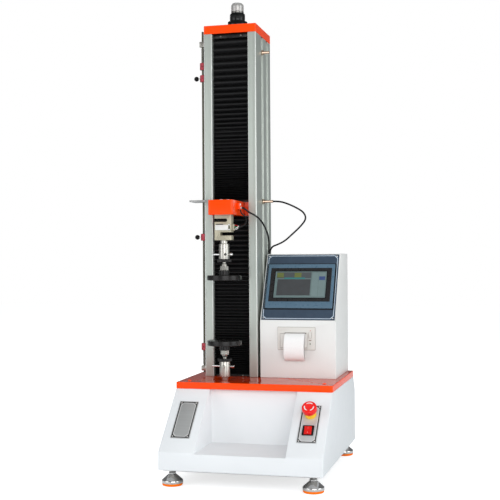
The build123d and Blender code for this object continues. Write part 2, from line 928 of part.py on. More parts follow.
lamp_flange_radius = 29.5
lamp_flange_height = 26
lamp_body_radius = 22.5
lamp_body_height = 50
lamp_neck_radius = 19
lamp_neck_height = 6
lamp_dome_radius = 18.5
lamp_dome_height = 26.5
lamp_dome_round = 10
lamp_wall = 1.5
lamp_cone_height = 3


def lamp_place():
    return Pos(column_centre_x, column_mid_y, column_top + cap_height)


def make_lamp_body():
    flange = post(0, 0, (0, lamp_flange_height), lamp_flange_radius)
    skirt = Pos(0, 0, lamp_flange_height + lamp_cone_height / 2) * Cone(
        lamp_flange_radius, lamp_body_radius, lamp_cone_height)
    body = post(0, 0, (0, lamp_body_height), lamp_body_radius)
    neck = post(0, 0, (lamp_body_height, lamp_body_height + lamp_neck_height), lamp_neck_radius)
    lamp = flange + skirt + body + neck
    return lamp_place() * lamp


def make_lamp_dome():
    low = lamp_body_height + lamp_neck_height
    dome = post(0, 0, (low, low + lamp_dome_height), lamp_dome_radius)
    dome = fillet(dome.edges().group_by(Axis.Z)[-1], lamp_dome_round)
    hollow = post(0, 0, (low - overrun, low + lamp_dome_height - lamp_wall), lamp_dome_radius - lamp_wall)
    hollow = fillet(hollow.edges().group_by(Axis.Z)[-1], lamp_dome_round - lamp_wall)
    return lamp_place() * (dome - hollow)


# Plates, buttons and switches on the sloped front
estop_base_radius = 15
estop_base_height = 12
estop_travel = 5
estop_head_low = 19.5
estop_head_radius = 19.5
estop_head_height = 15
estop_stem_radius = 6
estop_block_half = 15
estop_block_depth = 38
estop_barrel_depth = 10
estop_head_round = 4
rocker_rim_half_width = 15
rocker_rim_half_length = 15.5
rocker_rim_height = 2.5
rocker_half_width = 9.5
rocker_half_length = 11.5
rocker_window_half_length = 13
rocker_window_half_width = 10
rocker_peak = 2.5
rocker_dip = 1.2
rocker_keel = 3.2
rocker_skirt = 2.5
rocker_tilt = 8
rocker_pivot_depth = 5
rocker_body_depth = 22
rocker_window_depth = 11
rocker_pin_radius = 1.6


def make_label_plates():
    name = Box(2 * plate_half_width, plate_length, plate_thickness)
    lift = Pos(0, 0, plate_thickness / 2)
    left = on_slope(-plate_offset_x, plate_middle_s) * (lift * name)
    right = on_slope(plate_offset_x, plate_middle_s) * (lift * name)
    for hole in panel_holes():
        right -= hole
    return Compound([left, right])


def make_estop_collar():
    ring = post(0, 0, (plate_thickness, plate_thickness + estop_base_height), estop_base_radius)
    ring = fillet(ring.edges().group_by(Axis.Z)[-1], edge_round)
    barrel = post(0, 0, (-estop_barrel_depth, plate_thickness), estop_barrel_radius)
    works = block(around(0, estop_block_half), around(0, estop_block_half),
                  (-estop_barrel_depth - estop_block_depth, -estop_barrel_depth))
    collar = ring + barrel + works
    collar -= post(0, 0, (-estop_barrel_depth - estop_travel, plate_thickness + estop_base_height
                          + overrun), estop_stem_radius + running_clearance)
    return on_slope(plate_offset_x, estop_s) * collar


def make_estop_head():
    cap = post(0, 0, (estop_head_low, estop_head_low + estop_head_height), estop_head_radius)
    cap = fillet(cap.edges().group_by(Axis.Z)[-1], estop_head_round)
    cap = fillet(cap.edges().group_by(Axis.Z)[0], edge_round)
    stem = post(0, 0, (-estop_barrel_depth + seat_clearance, estop_head_low), estop_stem_radius)
    return on_slope(plate_offset_x, estop_s) * (cap + stem)


def make_rocker_bezel():
    lift = plate_thickness
    rim = block(around(0, rocker_rim_half_width), around(0, rocker_rim_half_length),
                (lift, lift + rocker_rim_height))
    rim = fillet(rim.edges().filter_by(Axis.Z), edge_round)
    body = block(around(0, rocker_body_half_width), around(0, rocker_body_half_length),
                 (-rocker_body_depth, lift))
    window = block(around(0, rocker_window_half_width), around(0, rocker_window_half_length),
                   (-rocker_window_depth, lift + rocker_rim_height + overrun))
    pin_hole = bar_along_x(around(0, rocker_body_half_width - sharp_round), 0, -rocker_pivot_depth,
                           rocker_pin_radius + running_clearance)
    return on_slope(plate_offset_x, rocker_s) * (rim + body - window - pin_hole)


def make_rocker():
    lift = plate_thickness + rocker_rim_height
    outline = [
        (-rocker_half_length, -rocker_skirt),
        (-rocker_half_length, lift + rocker_peak),
        (0, lift + rocker_peak - rocker_dip),
        (rocker_half_length, lift + rocker_peak),
        (rocker_half_length, -rocker_skirt),
        (0, -rocker_pivot_depth - rocker_keel),
    ]
    paddle = side_prism(outline, around(0, rocker_half_width))
    pin = bar_along_x(around(0, rocker_body_half_width - sharp_round), 0, -rocker_pivot_depth,
                      rocker_pin_radius)
    rocker = Pos(0, 0, -rocker_pivot_depth) * Rot(rocker_tilt, 0, 0) * Pos(0, 0, rocker_pivot_depth) * (
        paddle + pin)
    return on_slope(plate_offset_x, rocker_s) * rocker


panel_screw_radius = 2.4
panel_screw_height = 1.6
panel_screw_inset = 6
table_plug_radius = 5
table_plug_height = 2.5
table_plug_inset_x = 28
table_plug_inset_y = 33
strip_screw_half_spacing = 30
upper_strip_screw_drop = 5.5
lower_strip_screw_lift = 2.5
face_margin = 3
panel_thickness = 1.5


def screw_head(lift):
    return Pos(0, 0, lift + panel_screw_height / 2) * Cylinder(panel_screw_radius, panel_screw_height)


def make_panel_screws():
    pieces = []
    for centre in (-plate_offset_x, plate_offset_x):
        for x in around(centre, plate_half_width - panel_screw_inset):
            for s in around(plate_middle_s, plate_length / 2 - panel_screw_inset):
                pieces.append(on_slope(x, s) * screw_head(plate_thickness))
    for x in around(0, base_width / 2 - table_plug_inset_x):
        plug = post(x, table_front + table_plug_inset_y, (table_top, table_top + table_plug_height),
                    table_plug_radius)
        pieces.append(fillet(plug.edges().group_by(Axis.Z)[-1], sharp_round))
    for x in around(column_centre_x, strip_screw_half_spacing):
        for z in (column_top - upper_strip_screw_drop, table_top + lower_strip_screw_lift):
            pieces.append(bar_along_y(x, (bellows_front - panel_screw_height, bellows_front), z,
                                      panel_screw_radius))
    return Compound(pieces)


# Levelling feet
foot_ring_radius = 26.8
foot_ring_height = 6.5
foot_pad_radius = 27.6
foot_pad_top = 14.5
foot_cone_top = 29.5
foot_cone_base_radius = 26.6
foot_cone_radius = 9.5
foot_nut_radius = 10.5
foot_nut_height = 7.5
foot_nut_low = 27
stud_top = 76


def make_foot(x, y):
    ring = post(0, 0, (0, foot_ring_height), foot_ring_radius)
    ring = fillet(ring.edges(), edge_round)
    pad = post(0, 0, (foot_ring_height, foot_pad_top), foot_pad_radius)
    cone_height = foot_cone_top - foot_pad_top
    cone = Pos(0, 0, foot_pad_top + cone_height / 2) * Cone(foot_cone_base_radius, foot_cone_radius,
                                                            cone_height)
    nut = Pos(0, 0, foot_nut_low) * extrude(RegularPolygon(foot_nut_radius, 6), foot_nut_height)
    stud = post(0, 0, (foot_cone_top - overrun, stud_top), stud_radius)
    return Pos(x, y, 0) * Compound([ring, pad + cone + stud + nut])


# Control box on the table
box_sheet = 1.5
printer_inset = 51.4
printer_lift = 80
printer_width = 106.3
printer_height = 63
printer_proud = 2.5
door_left_margin = 7
door_right_margin = 22
door_bottom_margin = 6
door_height = 39
door_gap = 0.6
door_proud = 0.8
door_round = 1.2
paper_slot = 3
housing_depth = 68
housing_margin = 4
hinge_pin_radius = 1.2
hinge_rise = 2.1
hinge_end = 1.8
roll_radius = 22
roll_core_radius = 6
roll_half_width = 28.5
roll_shift = 5
roll_setback = 34
roll_side_gap = 2
roll_cavity_gap = 3
throat_half_height = 16
button_radius = 3.5
button_half_length = 9
button_proud = 1.2
button_travel = 0.6
button_depth = 5
button_inset = 14
button_drop = 22

printer_left = box_left + printer_inset
printer_bottom = table_top + printer_lift
printer_right = printer_left + printer_width
printer_top = printer_bottom + printer_height
door_left = printer_left + door_left_margin
door_right = printer_right - door_right_margin
door_bottom = printer_bottom + door_bottom_margin
door_top = door_bottom + door_height
hinge_z = door_bottom + hinge_rise
hinge_y = box_front - printer_proud / 2
roll_x = (door_left + door_right) / 2 + roll_shift
roll_y = box_front + roll_setback
roll_z = (door_bottom + door_top) / 2
button_x = printer_right - button_inset
button_z = printer_top - button_drop


def box_outline():
    return [
        (box_front, table_top),
        (box_front, box_bend_z),
        (box_top_front, box_top),
        (box_back, box_top),
        (box_back, table_top),
    ]


def make_control_box():
    outer = side_prism(box_outline(), (box_left, box_right))
    outer = fillet(outer.edges().filter_by(Axis.Z), edge_round / 2)
    inner_face = offset(make_face(Polyline(*box_outline(), close=True)), -box_sheet, kind=Kind.INTERSECTION)
    cavity = Pos(box_left + box_sheet, 0, 0) * extrude(Plane.YZ * inner_face, box_width - 2 * box_sheet)
    floor_hole = block((box_left + bottom_flange, box_right - bottom_flange),
                       (box_front + bottom_flange, box_back - bottom_flange),
                       around(table_top, overrun))
    printer_hole = block((printer_left + housing_margin, printer_right - housing_margin),
                         around(box_front, overrun),
                         (printer_bottom + housing_margin, printer_top - housing_margin))
    module_hole = on_face(module_x, module_middle_s) * Box(module_width - 2 * housing_margin,
                                                           module_height - 2 * housing_margin, 2 * overrun)
    return outer - cavity - floor_hole - printer_hole - module_hole


# Display: a printed panel with the touch module's frame and its screen
module_side_margin = 11
module_width = box_width - 2 * module_side_margin
module_height = 138
module_middle_s = 107
module_shift = 1
module_x = box_mid_x - module_shift
module_proud = 4
bezel_margin_x = 8.5
bezel_low = 20.5
bezel_high = 12.5
module_depth = 32
module_back_inset = 6
screen_thickness = 2


def screen_window(height):
    width = module_width - 2 * bezel_margin_x
    length = module_height - bezel_low - bezel_high
    middle = module_middle_s + (bezel_low - bezel_high) / 2
    return on_face(module_x, middle) * Pos(0, 0, height) * Box(width, length, screen_thickness)


def make_display_panel():
    width = box_width - 2 * face_margin
    length = face_length - 2 * face_margin
    opening = Box(module_width - 2 * housing_margin, module_height - 2 * housing_margin, 2 * overrun)
    panel = on_face(box_mid_x, face_length / 2) * (Pos(0, 0, panel_thickness / 2) * Box(
        width, length, panel_thickness))
    panel -= on_face(module_x, module_middle_s) * opening
    frame = Pos(0, 0, panel_thickness + module_proud / 2) * Box(module_width, module_height, module_proud)
    frame = fillet(frame.edges().filter_by(Axis.Z), edge_round)
    back = Pos(0, 0, (panel_thickness - module_depth) / 2) * Box(
        module_width - 2 * module_back_inset, module_height - 2 * module_back_inset,
        panel_thickness + module_depth)
    frame = on_face(module_x, module_middle_s) * (frame + back)
    frame -= screen_window(panel_thickness + module_proud - screen_thickness / 2)
    pieces = [panel, frame]
    for x in around(box_mid_x, width / 2 - panel_screw_inset):
        for s in around(face_length / 2, length / 2 - panel_screw_inset):
            pieces.append(on_face(x, s) * screw_head(panel_thickness))
    return Compound(pieces)


def make_touch_screen():
    return screen_window(panel_thickness + module_proud - screen_thickness / 2)


def make_printer_body():
    y_front = box_front - printer_proud
    bezel = block((printer_left, printer_right), (y_front, box_front), (printer_bottom, printer_top))
    bezel = fillet(bezel.edges().filter_by(Axis.Y), edge_round)
    housing = block((printer_left + housing_margin + seat_clearance, printer_right - housing_margin
                     - seat_clearance), (box_front, box_front + housing_depth),
                    (printer_bottom + housing_margin + seat_clearance,
                     printer_top - housing_margin - seat_clearance))
    body = bezel + housing
    window = block((door_left, door_right), (y_front - overrun, box_front + housing_margin),
                   (door_bottom - door_gap, door_top + door_gap))
    window += block(around(roll_x, roll_half_width + roll_side_gap),
                    (y_front - overrun, box_front + housing_margin), (door_top, door_top + paper_slot))
    roll_span = around(roll_x, roll_half_width + roll_side_gap)
    bucket = bar_along_x(roll_span, roll_y, roll_z, roll_radius + roll_cavity_gap)
    throat = block(roll_span, (box_front, roll_y), around(roll_z, throat_half_height))
    hinge = bar_along_x((door_left - hinge_end - seat_clearance, door_right + hinge_end
                         + seat_clearance), hinge_y, hinge_z, hinge_pin_radius + running_clearance)
    spindle = bar_along_x(roll_span, roll_y, roll_z, roll_core_radius - running_clearance)
    slot = button_shape(button_depth + overrun, 0)
    return body - window - bucket - throat - hinge - slot + spindle


def button_shape(depth, inset):
    """The feed button's oval bar; inset makes it smaller than its hole."""
    front = box_front - printer_proud - button_proud
    y = (front, front + depth)
    radius = button_radius - inset
    half = button_half_length - button_radius
    shape = block(around(button_x, radius), y, around(button_z, half))
    for z in around(button_z, half):
        shape += bar_along_y(button_x, y, z, radius)
    return shape


def make_feed_button():
    return button_shape(button_depth, running_clearance)


def make_printer_door():
    y = (box_front - printer_proud - door_proud, box_front + door_proud)
    door = block((door_left + door_gap, door_right - door_gap), y, (door_bottom, door_top))
    door = fillet(door.edges().filter_by(Axis.X).group_by(Axis.Z)[0], door_round)
    pin = bar_along_x((door_left - hinge_end, door_right + hinge_end), hinge_y, hinge_z,
                      hinge_pin_radius)
    return door + pin


def make_paper_roll():
    roll = bar_along_x(around(roll_x, roll_half_width), roll_y, roll_z, roll_radius)
    return roll - bar_along_x(around(roll_x, roll_half_width + overrun), roll_y, roll_z, roll_core_radius)


paper_sheet = 0.4
paper_lift = 1.2
paper_bulge = 25
paper_drop = 76
paper_end_reach = 8
paper_segment_count = 12


def make_paper_strip():
    """A curl of paper from the slot over the door's top edge."""
    z = door_top + paper_lift
    lip_y = box_front - printer_proud - door_proud
    curve = Spline(
        (box_front, z),
        (lip_y, z),
        (lip_y - paper_bulge, z - paper_drop / 2),
        (lip_y - paper_end_reach, z - paper_drop),
    )
    points = [curve @ (i / paper_segment_count) for i in range(paper_segment_count + 1)]
    normals = [(curve % (i / paper_segment_count)).rotate(Axis.Z, 90) for i in range(paper_segment_count + 1)]
    lower = [(point.X, point.Y) for point in points]
    upper = [(point.X - n.X * paper_sheet, point.Y - n.Y * paper_sheet)
             for point, n in zip(points, normals)]
    return side_prism(lower + upper[::-1], around(roll_x, roll_half_width))


# Cords: straight runs joined by tangent arcs, along points chosen by hand
cable_radius = 2.5
lead_radius = 2
arc_share = 0.45

crosshead_cable_points = [
    (-53.2, -27.5, 731.5), (-46, -28, 730.5), (-36, -20, 720), (-22, -6, 712), (-13, 8, 703.5),
    (-6, 34, 688), (-4, 74, 664), (-6, 104, 640), (-13, 130, 612), (-17.6, 140, 565), (-18, 140, 505),
    (-18.3, 141, 450), (-18, 140, 400), (-18.2, 141, 350), (-18, 140, 300), (-18, 140.2, 253.4),
]
side_cable_points = [
    (8.3, 98, 755), (27, 98, 755), (50, 97, 748), (76, 99, 736), (98, 102, 722), (104, 108, 703),
    (84, 118, 681), (58, 128, 660), (33, 138, 640), (9, 147, 630), (-10, 152, 624), (-18.8, 157, 602),
    (-18.2, 158, 570), (-18, 157, 515), (-18.3, 158, 460), (-18, 157, 405), (-18.3, 158, 350),
    (-18, 157, 300), (-18, 157.2, 253.4),
]
lead_points = [
    (-68.7, -48, 676), (-58, -48, 676.5), (-45, -43, 680), (-39, -34, 690), (-40, -28, 701),
    (-47, -27.5, 711), (-56, -27.5, 717), (-57, -27.5, 726),
]


def cord_tube(points, radius, name):
    """A tube along straight runs, each corner an arc as large as its runs allow."""
    radii = []
    for before, corner, after in zip(points, points[1:], points[2:]):
        run_in = Vector(*corner) - Vector(*before)
        run_out = Vector(*after) - Vector(*corner)
        half_turn = math.radians(run_in.get_angle(run_out)) / 2
        radii.append(arc_share * min(run_in.length, run_out.length) / math.tan(half_turn))
    path = FilletPolyline(*points, radius=radii)
    print(name, "arc radii", [round(value) for value in radii], "length", round(path.length))
    tube = sweep(Plane(origin=path @ 0, z_dir=path % 0) * Circle(radius), path=path)
    section = math.pi * radius ** 2
    print(name, "volume over section times length", round(tube.volume / (section * path.length), 4))
    return tube


upper_adapter = make_adapter(upper_neck_radius, upper_neck_length)
lower_adapter = make_adapter(lower_spigot_radius, lower_spigot_step + lower_spigot_depth)

nodes = {
    "base_cabinet": make_base_cabinet(),
    "bottom_tray": make_bottom_tray(),
    "rear_panel": make_rear_panel(),
    "mains_inlet": make_mains_inlet(),
    "table_plate": make_table_plate(),
    "column_left": make_profile(-1),
    "column_right": make_profile(1),
    "column_back": make_column_back(),
    "column_cap": make_column_cap(),
    "end_blocks": make_end_blocks(),
    "guide_rods": make_guide_rods(),
    "lead_screw": make_lead_screw(),
    "screw_pulley": make_screw_pulley(),
    "motor_pulley": make_motor_pulley(),
    "motor": make_motor(),
    "drive_belt": make_drive_belt(),
    "electronics": make_electronics(),
    "carriage": make_carriage(),
    "carriage_bushings": make_carriage_bushings(),
    "crosshead_cover": make_crosshead_cover(),
    "striker_arm": make_striker_arm(),
    "upper_bellows": make_bellows(column_top - upper_lip_height, shield_high, upper_pleat_count,
                                  upper_ratio_share),
    "lower_bellows": make_bellows(shield_low, table_top + lower_lip_height, lower_pleat_count,
                                  lower_ratio_share),
    "load_cell": make_load_cell(),
    "upper_adapter": upper_place * upper_adapter,
    "upper_locknut": upper_place * make_locknut(),
    "upper_cross_pin": upper_place * make_ball_pin(),
    "upper_platen": upper_place * make_platen(),
    "lower_adapter": lower_place * (lower_adapter + make_set_screw()),
    "lower_locknut": lower_place * make_locknut(),
    "lower_cross_pin": lower_place * make_handled_pin(),
    "lower_platen": lower_place * make_platen(),
    "limit_brackets": make_limit_brackets(),
    "limit_rod": make_limit_rod(),
    "upper_limit_collar": make_limit_collar(upper_collar_low),
    "lower_limit_collar": make_limit_collar(lower_collar_low),
    "side_fittings": make_side_fittings(),
    "lamp_body": make_lamp_body(),
    "lamp_dome": make_lamp_dome(),
    "label_plates": make_label_plates(),
    "estop_collar": make_estop_collar(),
    "estop_head": make_estop_head(),
    "rocker_bezel": make_rocker_bezel(),
    "rocker": make_rocker(),
    "panel_screws": make_panel_screws(),
    "foot_front_left": make_foot(-foot_x, -foot_y),
    "foot_front_right": make_foot(foot_x, -foot_y),
    "foot_rear_left": make_foot(-foot_x, foot_y),
    "foot_rear_right": make_foot(foot_x, foot_y),
    "control_box": make_control_box(),
    "display_panel": make_display_panel(),
    "touch_screen": make_touch_screen(),
    "printer_body": make_printer_body(),
    "printer_door": make_printer_door(),
    "paper_roll": make_paper_roll(),
    "paper_strip": make_paper_strip(),
    "feed_button": make_feed_button(),
    "crosshead_cable": cord_tube(crosshead_cable_points, cable_radius, "crosshead_cable"),
    "side_cable": cord_tube(side_cable_points, cable_radius, "side_cable"),
    "load_cell_lead": cord_tube(lead_points, lead_radius, "load_cell_lead"),
}

for name, shape in nodes.items():
    export_step(shape, f"parts/{name}.step")
print(len(nodes), "nodes written")
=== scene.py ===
import bpy
import bmesh
import json
import math
from functools import partial
from mathutils import Matrix, Vector


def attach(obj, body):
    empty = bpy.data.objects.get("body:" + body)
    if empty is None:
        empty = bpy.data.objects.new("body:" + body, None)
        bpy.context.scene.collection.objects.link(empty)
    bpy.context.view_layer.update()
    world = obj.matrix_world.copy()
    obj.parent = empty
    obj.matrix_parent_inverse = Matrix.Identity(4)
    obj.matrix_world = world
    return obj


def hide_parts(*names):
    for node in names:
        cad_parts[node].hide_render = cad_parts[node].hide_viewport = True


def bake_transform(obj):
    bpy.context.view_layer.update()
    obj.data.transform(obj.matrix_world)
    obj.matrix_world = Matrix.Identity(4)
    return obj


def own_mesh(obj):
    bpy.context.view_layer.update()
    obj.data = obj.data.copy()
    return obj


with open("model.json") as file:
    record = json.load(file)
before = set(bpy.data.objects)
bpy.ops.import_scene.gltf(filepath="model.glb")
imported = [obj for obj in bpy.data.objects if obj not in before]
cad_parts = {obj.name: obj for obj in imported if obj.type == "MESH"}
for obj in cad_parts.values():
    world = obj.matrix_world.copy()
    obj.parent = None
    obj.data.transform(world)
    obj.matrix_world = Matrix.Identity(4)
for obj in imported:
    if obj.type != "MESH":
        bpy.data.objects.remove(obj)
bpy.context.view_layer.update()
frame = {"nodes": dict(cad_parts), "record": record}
nodes = frame["nodes"]
scene = bpy.context.scene
print("frame loaded,", len(nodes), "nodes")


# Camera, at the photograph's angle
cameraView = {
    "position": (0.6581, -2.72142, 0.59205),
    "azimuth": 14.33,
    "pitch": 0.44,
    "roll": -0.36,
    "focalPixels": 996.61,
    "imagePixels": 500,
    "sensor": 36,
}


def placeCamera(view):
    azimuth, pitch, roll = (math.radians(view[key]) for key in ("azimuth", "pitch", "roll"))
    forward = Vector((-math.sin(azimuth) * math.cos(pitch), math.cos(azimuth) * math.cos(pitch),
                      math.sin(pitch)))
    level = forward.cross(Vector((0, 0, 1))).normalized()
    above = level.cross(forward)
    right = level * math.cos(roll) + above * math.sin(roll)
    up = above * math.cos(roll) - level * math.sin(roll)
    data = bpy.data.cameras.new("studioCamera")
    data.sensor_width = view["sensor"]
    data.lens = view["focalPixels"] * view["sensor"] / view["imagePixels"]
    data.clip_end = 50
    camera = bpy.data.objects.new("studioCamera", data)
    turn = Matrix((right, up, -forward)).transposed().to_4x4()
    camera.matrix_world = Matrix.Translation(view["position"]) @ turn
    scene.collection.objects.link(camera)
    scene.camera = camera


placeCamera(cameraView)


# Small tools for nodes
def feed(tree, socket, value):
    # A plain value, another node's socket, or a node for its first output
    if isinstance(value, bpy.types.Node):
        value = value.outputs[0]
    if isinstance(value, bpy.types.NodeSocket):
        tree.links.new(value, socket)
    else:
        socket.default_value = value


def addNode(tree, kind, inputs=None, **settings):
    node = tree.nodes.new(kind)
    for key, value in settings.items():
        setattr(node, key, value)
    for socket, value in (inputs or {}).items():
        feed(tree, node.inputs[socket], value)
    return node


def mathNode(tree, operation, first, second=0.0):
    return addNode(tree, "ShaderNodeMath", {0: first, 1: second}, operation=operation)


shaderInputs = {"metallic": "Metallic", "coat": "Coat Weight", "specular": "Specular IOR Level",
                "alpha": "Alpha"}


def newMaterial(name, color, roughness, **shine):
    material = bpy.data.materials.new(name)
    material.use_nodes = True
    values = {"Base Color": (*color, 1), "Roughness": roughness, "Coat Roughness": 0.05, "IOR": 1.5,
              **{shaderInputs[key]: value for key, value in shine.items()}}
    for key, value in values.items():
        material.node_tree.nodes["Principled BSDF"].inputs[key].default_value = value
    return material


def noiseField(tree, scale, stretch, seed, detail=3.0):
    place = addNode(tree, "ShaderNodeTexCoord")
    mapping = addNode(tree, "ShaderNodeMapping", {
        "Vector": place.outputs["Object"], "Scale": stretch, "Location": (seed, seed * 0.7, seed * 0.3)})
    return addNode(tree, "ShaderNodeTexNoise", {"Vector": mapping, "Scale": scale, "Detail": detail})


def spread(tree, field, low, high):
    # The noise's middle range, stretched between two values
    return addNode(tree, "ShaderNodeMapRange", {
        "Value": field, "From Min": 0.3, "From Max": 0.7, "To Min": low, "To Max": high})


def tint(material, other, scale, stretch=(1, 1, 1)):
    tree = material.node_tree
    color = tree.nodes["Principled BSDF"].inputs["Base Color"]
    factor = spread(tree, noiseField(tree, scale, stretch, 0.0), 0, 1)
    mix = addNode(tree, "ShaderNodeMix", data_type="RGBA")
    for socket, value in ((0, factor), (6, tuple(color.default_value)), (7, (*other, 1))):
        feed(tree, mix.inputs[socket], value)
    feed(tree, color, mix.outputs[2])


def roughen(material, low, high, scale, stretch=(1, 1, 1)):
    tree = material.node_tree
    field = spread(tree, noiseField(tree, scale, stretch, 3.0), low, high)
    feed(tree, tree.nodes["Principled BSDF"].inputs["Roughness"], field)


reliefHeight = 0.0002


def emboss(material, scale, strength, stretch=(1, 1, 1)):
    tree = material.node_tree
    bump = addNode(tree, "ShaderNodeBump", {
        "Strength": strength, "Distance": reliefHeight,
        "Height": noiseField(tree, scale, stretch, 7.0, 2.0)})
    feed(tree, tree.nodes["Principled BSDF"].inputs["Normal"], bump)


# Finishes: material, colour, roughness, what else shines, then the tint's other colour and scale, the
# range of roughness and its scale, and the relief's scale and strength; a stretch draws a grain out
along = (0.02, 1, 1)
finishLooks = {
    "powder": ("whitePowderCoat", (0.795, 0.815, 0.83), 0.42, {"specular": 0.3},
               ((0.77, 0.79, 0.805), 6), (0.36, 0.5, 40), (900, 0.12)),
    "boxPaint": ("whiteBoxPaint", (0.78, 0.78, 0.76), 0.42, {"specular": 0.3},
                 ((0.755, 0.755, 0.735), 6), (0.36, 0.5, 40), (900, 0.12)),
    "orange": ("orangePaint", (1.0, 0.068, 0.003), 0.16, {"specular": 0.22},
               ((0.97, 0.060, 0.002), 5), (0.12, 0.2, 30)),
    # Painted shade: a darker copy of the orange for the table's top, so that it bounces less orange light
    # onto the control box
    "tableTop": ("orangeTopPaintedShade", (0.58, 0.040, 0.0018), 0.13, {"specular": 0.3},
                 ((0.55, 0.037, 0.0017), 5), (0.1, 0.16, 30)),
    "anodised": ("anodisedProfile", (0.54, 0.58, 0.53), 0.4, {"metallic": 0.6},
                 ((0.50, 0.54, 0.495), 60, (1, 1, 0.01)), (0.33, 0.46, 160, (1, 1, 0.004)),
                 (900, 0.1, (1, 1, 0.003))),
    "steel": ("machinedSteel", (0.55, 0.53, 0.48), 0.3, {"metallic": 0.95},
              ((0.50, 0.48, 0.44), 90), (0.26, 0.34, 60)),
    "brushed": ("brushedPlate", (0.44, 0.445, 0.44), 0.4, {"metallic": 0.3},
                ((0.40, 0.405, 0.40), 300, along), (0.28, 0.44, 500, along), (900, 0.06, along)),
    "chrome": ("polishedChrome", (0.80, 0.79, 0.77), 0.15, {"metallic": 1},
               ((0.74, 0.73, 0.72), 30), (0.12, 0.18, 60)),
    "blackSteel": ("blackenedSteel", (0.014, 0.013, 0.013), 0.32, {"metallic": 0.3, "specular": 0.35},
                   ((0.024, 0.022, 0.022), 70), (0.22, 0.4, 150), (900, 0.1)),
    "platen": ("platenBlack", (0.010, 0.009, 0.009), 0.26, {"specular": 0.26},
               ((0.014, 0.0125, 0.012), 40), (0.23, 0.3, 90)),
    "bellows": ("bellowsCloth", (0.0105, 0.0105, 0.011), 0.48, {"specular": 0.22},
                ((0.009, 0.009, 0.0095), 120), (0.42, 0.56, 200), (1500, 0.2)),
    "loadCell": ("loadCellFinish", (0.44, 0.405, 0.30), 0.38, {"metallic": 0.45},
                 ((0.40, 0.37, 0.28), 80), (0.3, 0.46, 160), (900, 0.1)),
    "redMetal": ("redAnodised", (0.42, 0.022, 0.045), 0.3, {"metallic": 0.25, "coat": 0.2},
                 ((0.34, 0.015, 0.035), 90), (0.24, 0.38, 200)),
    "redPlastic": ("redPlastic", (0.90, 0.014, 0.011), 0.3, {"specular": 0.35},
                   ((0.82, 0.011, 0.009), 60), (0.24, 0.38, 150), (900, 0.06)),
    "rockerRed": ("rockerRed", (0.80, 0.012, 0.008), 0.18, {"coat": 0.4}, ((0.60, 0.006, 0.004), 120)),
    "yellow": ("yellowPlastic", (0.95, 0.58, 0.025), 0.34, {},
               ((0.90, 0.53, 0.02), 80), (0.28, 0.42, 150)),
    "black": ("blackPlastic", (0.007, 0.007, 0.0075), 0.38, {"specular": 0.3},
              ((0.012, 0.012, 0.0125), 100), (0.3, 0.48, 250), (1200, 0.15)),
    "glossBlack": ("glossBlack", (0.004, 0.005, 0.005), 0.14, {"specular": 0.35},
                   ((0.008, 0.009, 0.009), 60), (0.08, 0.18, 80)),
    "offWhite": ("printerWhite", (0.70, 0.68, 0.64), 0.4, {},
                 ((0.675, 0.655, 0.615), 40), (0.34, 0.48, 120), (1200, 0.1)),
    "paper": ("paperRoll", (0.88, 0.87, 0.86), 0.75, {}, ((0.85, 0.84, 0.83), 200), None, (1500, 0.12)),
    "jacket": ("cableJacket", (0.005, 0.005, 0.006), 0.42, {"specular": 0.25},
               ((0.009, 0.009, 0.010), 150), (0.34, 0.5, 300)),
    "orangeRubber": ("orangeRubber", (1.0, 0.21, 0.006), 0.5, {"specular": 0.08},
                     ((0.97, 0.19, 0.005), 90), (0.42, 0.6, 200), (1000, 0.15)),
    "bronze": ("bearingBronze", (0.45, 0.27, 0.10), 0.3, {"metallic": 1}, ((0.38, 0.22, 0.08), 80)),
    "zinc": ("zincPlate", (0.50, 0.50, 0.49), 0.34, {"metallic": 0.9},
             ((0.42, 0.42, 0.41), 50), (0.26, 0.44, 90)),
    "frost": ("lampFrost", (0.50, 0.50, 0.48), 0.24, {"metallic": 0.35, "alpha": 0.93},
              ((0.42, 0.42, 0.41), 40)),
    "board": ("circuitBoard", (0.02, 0.10, 0.05), 0.35, {}, ((0.03, 0.14, 0.07), 200)),
    "knob": ("knob", (0.006, 0.006, 0.006), 0.3, {"specular": 0.12},
             ((0.009, 0.009, 0.009), 60), (0.255, 0.36, 150)),
}

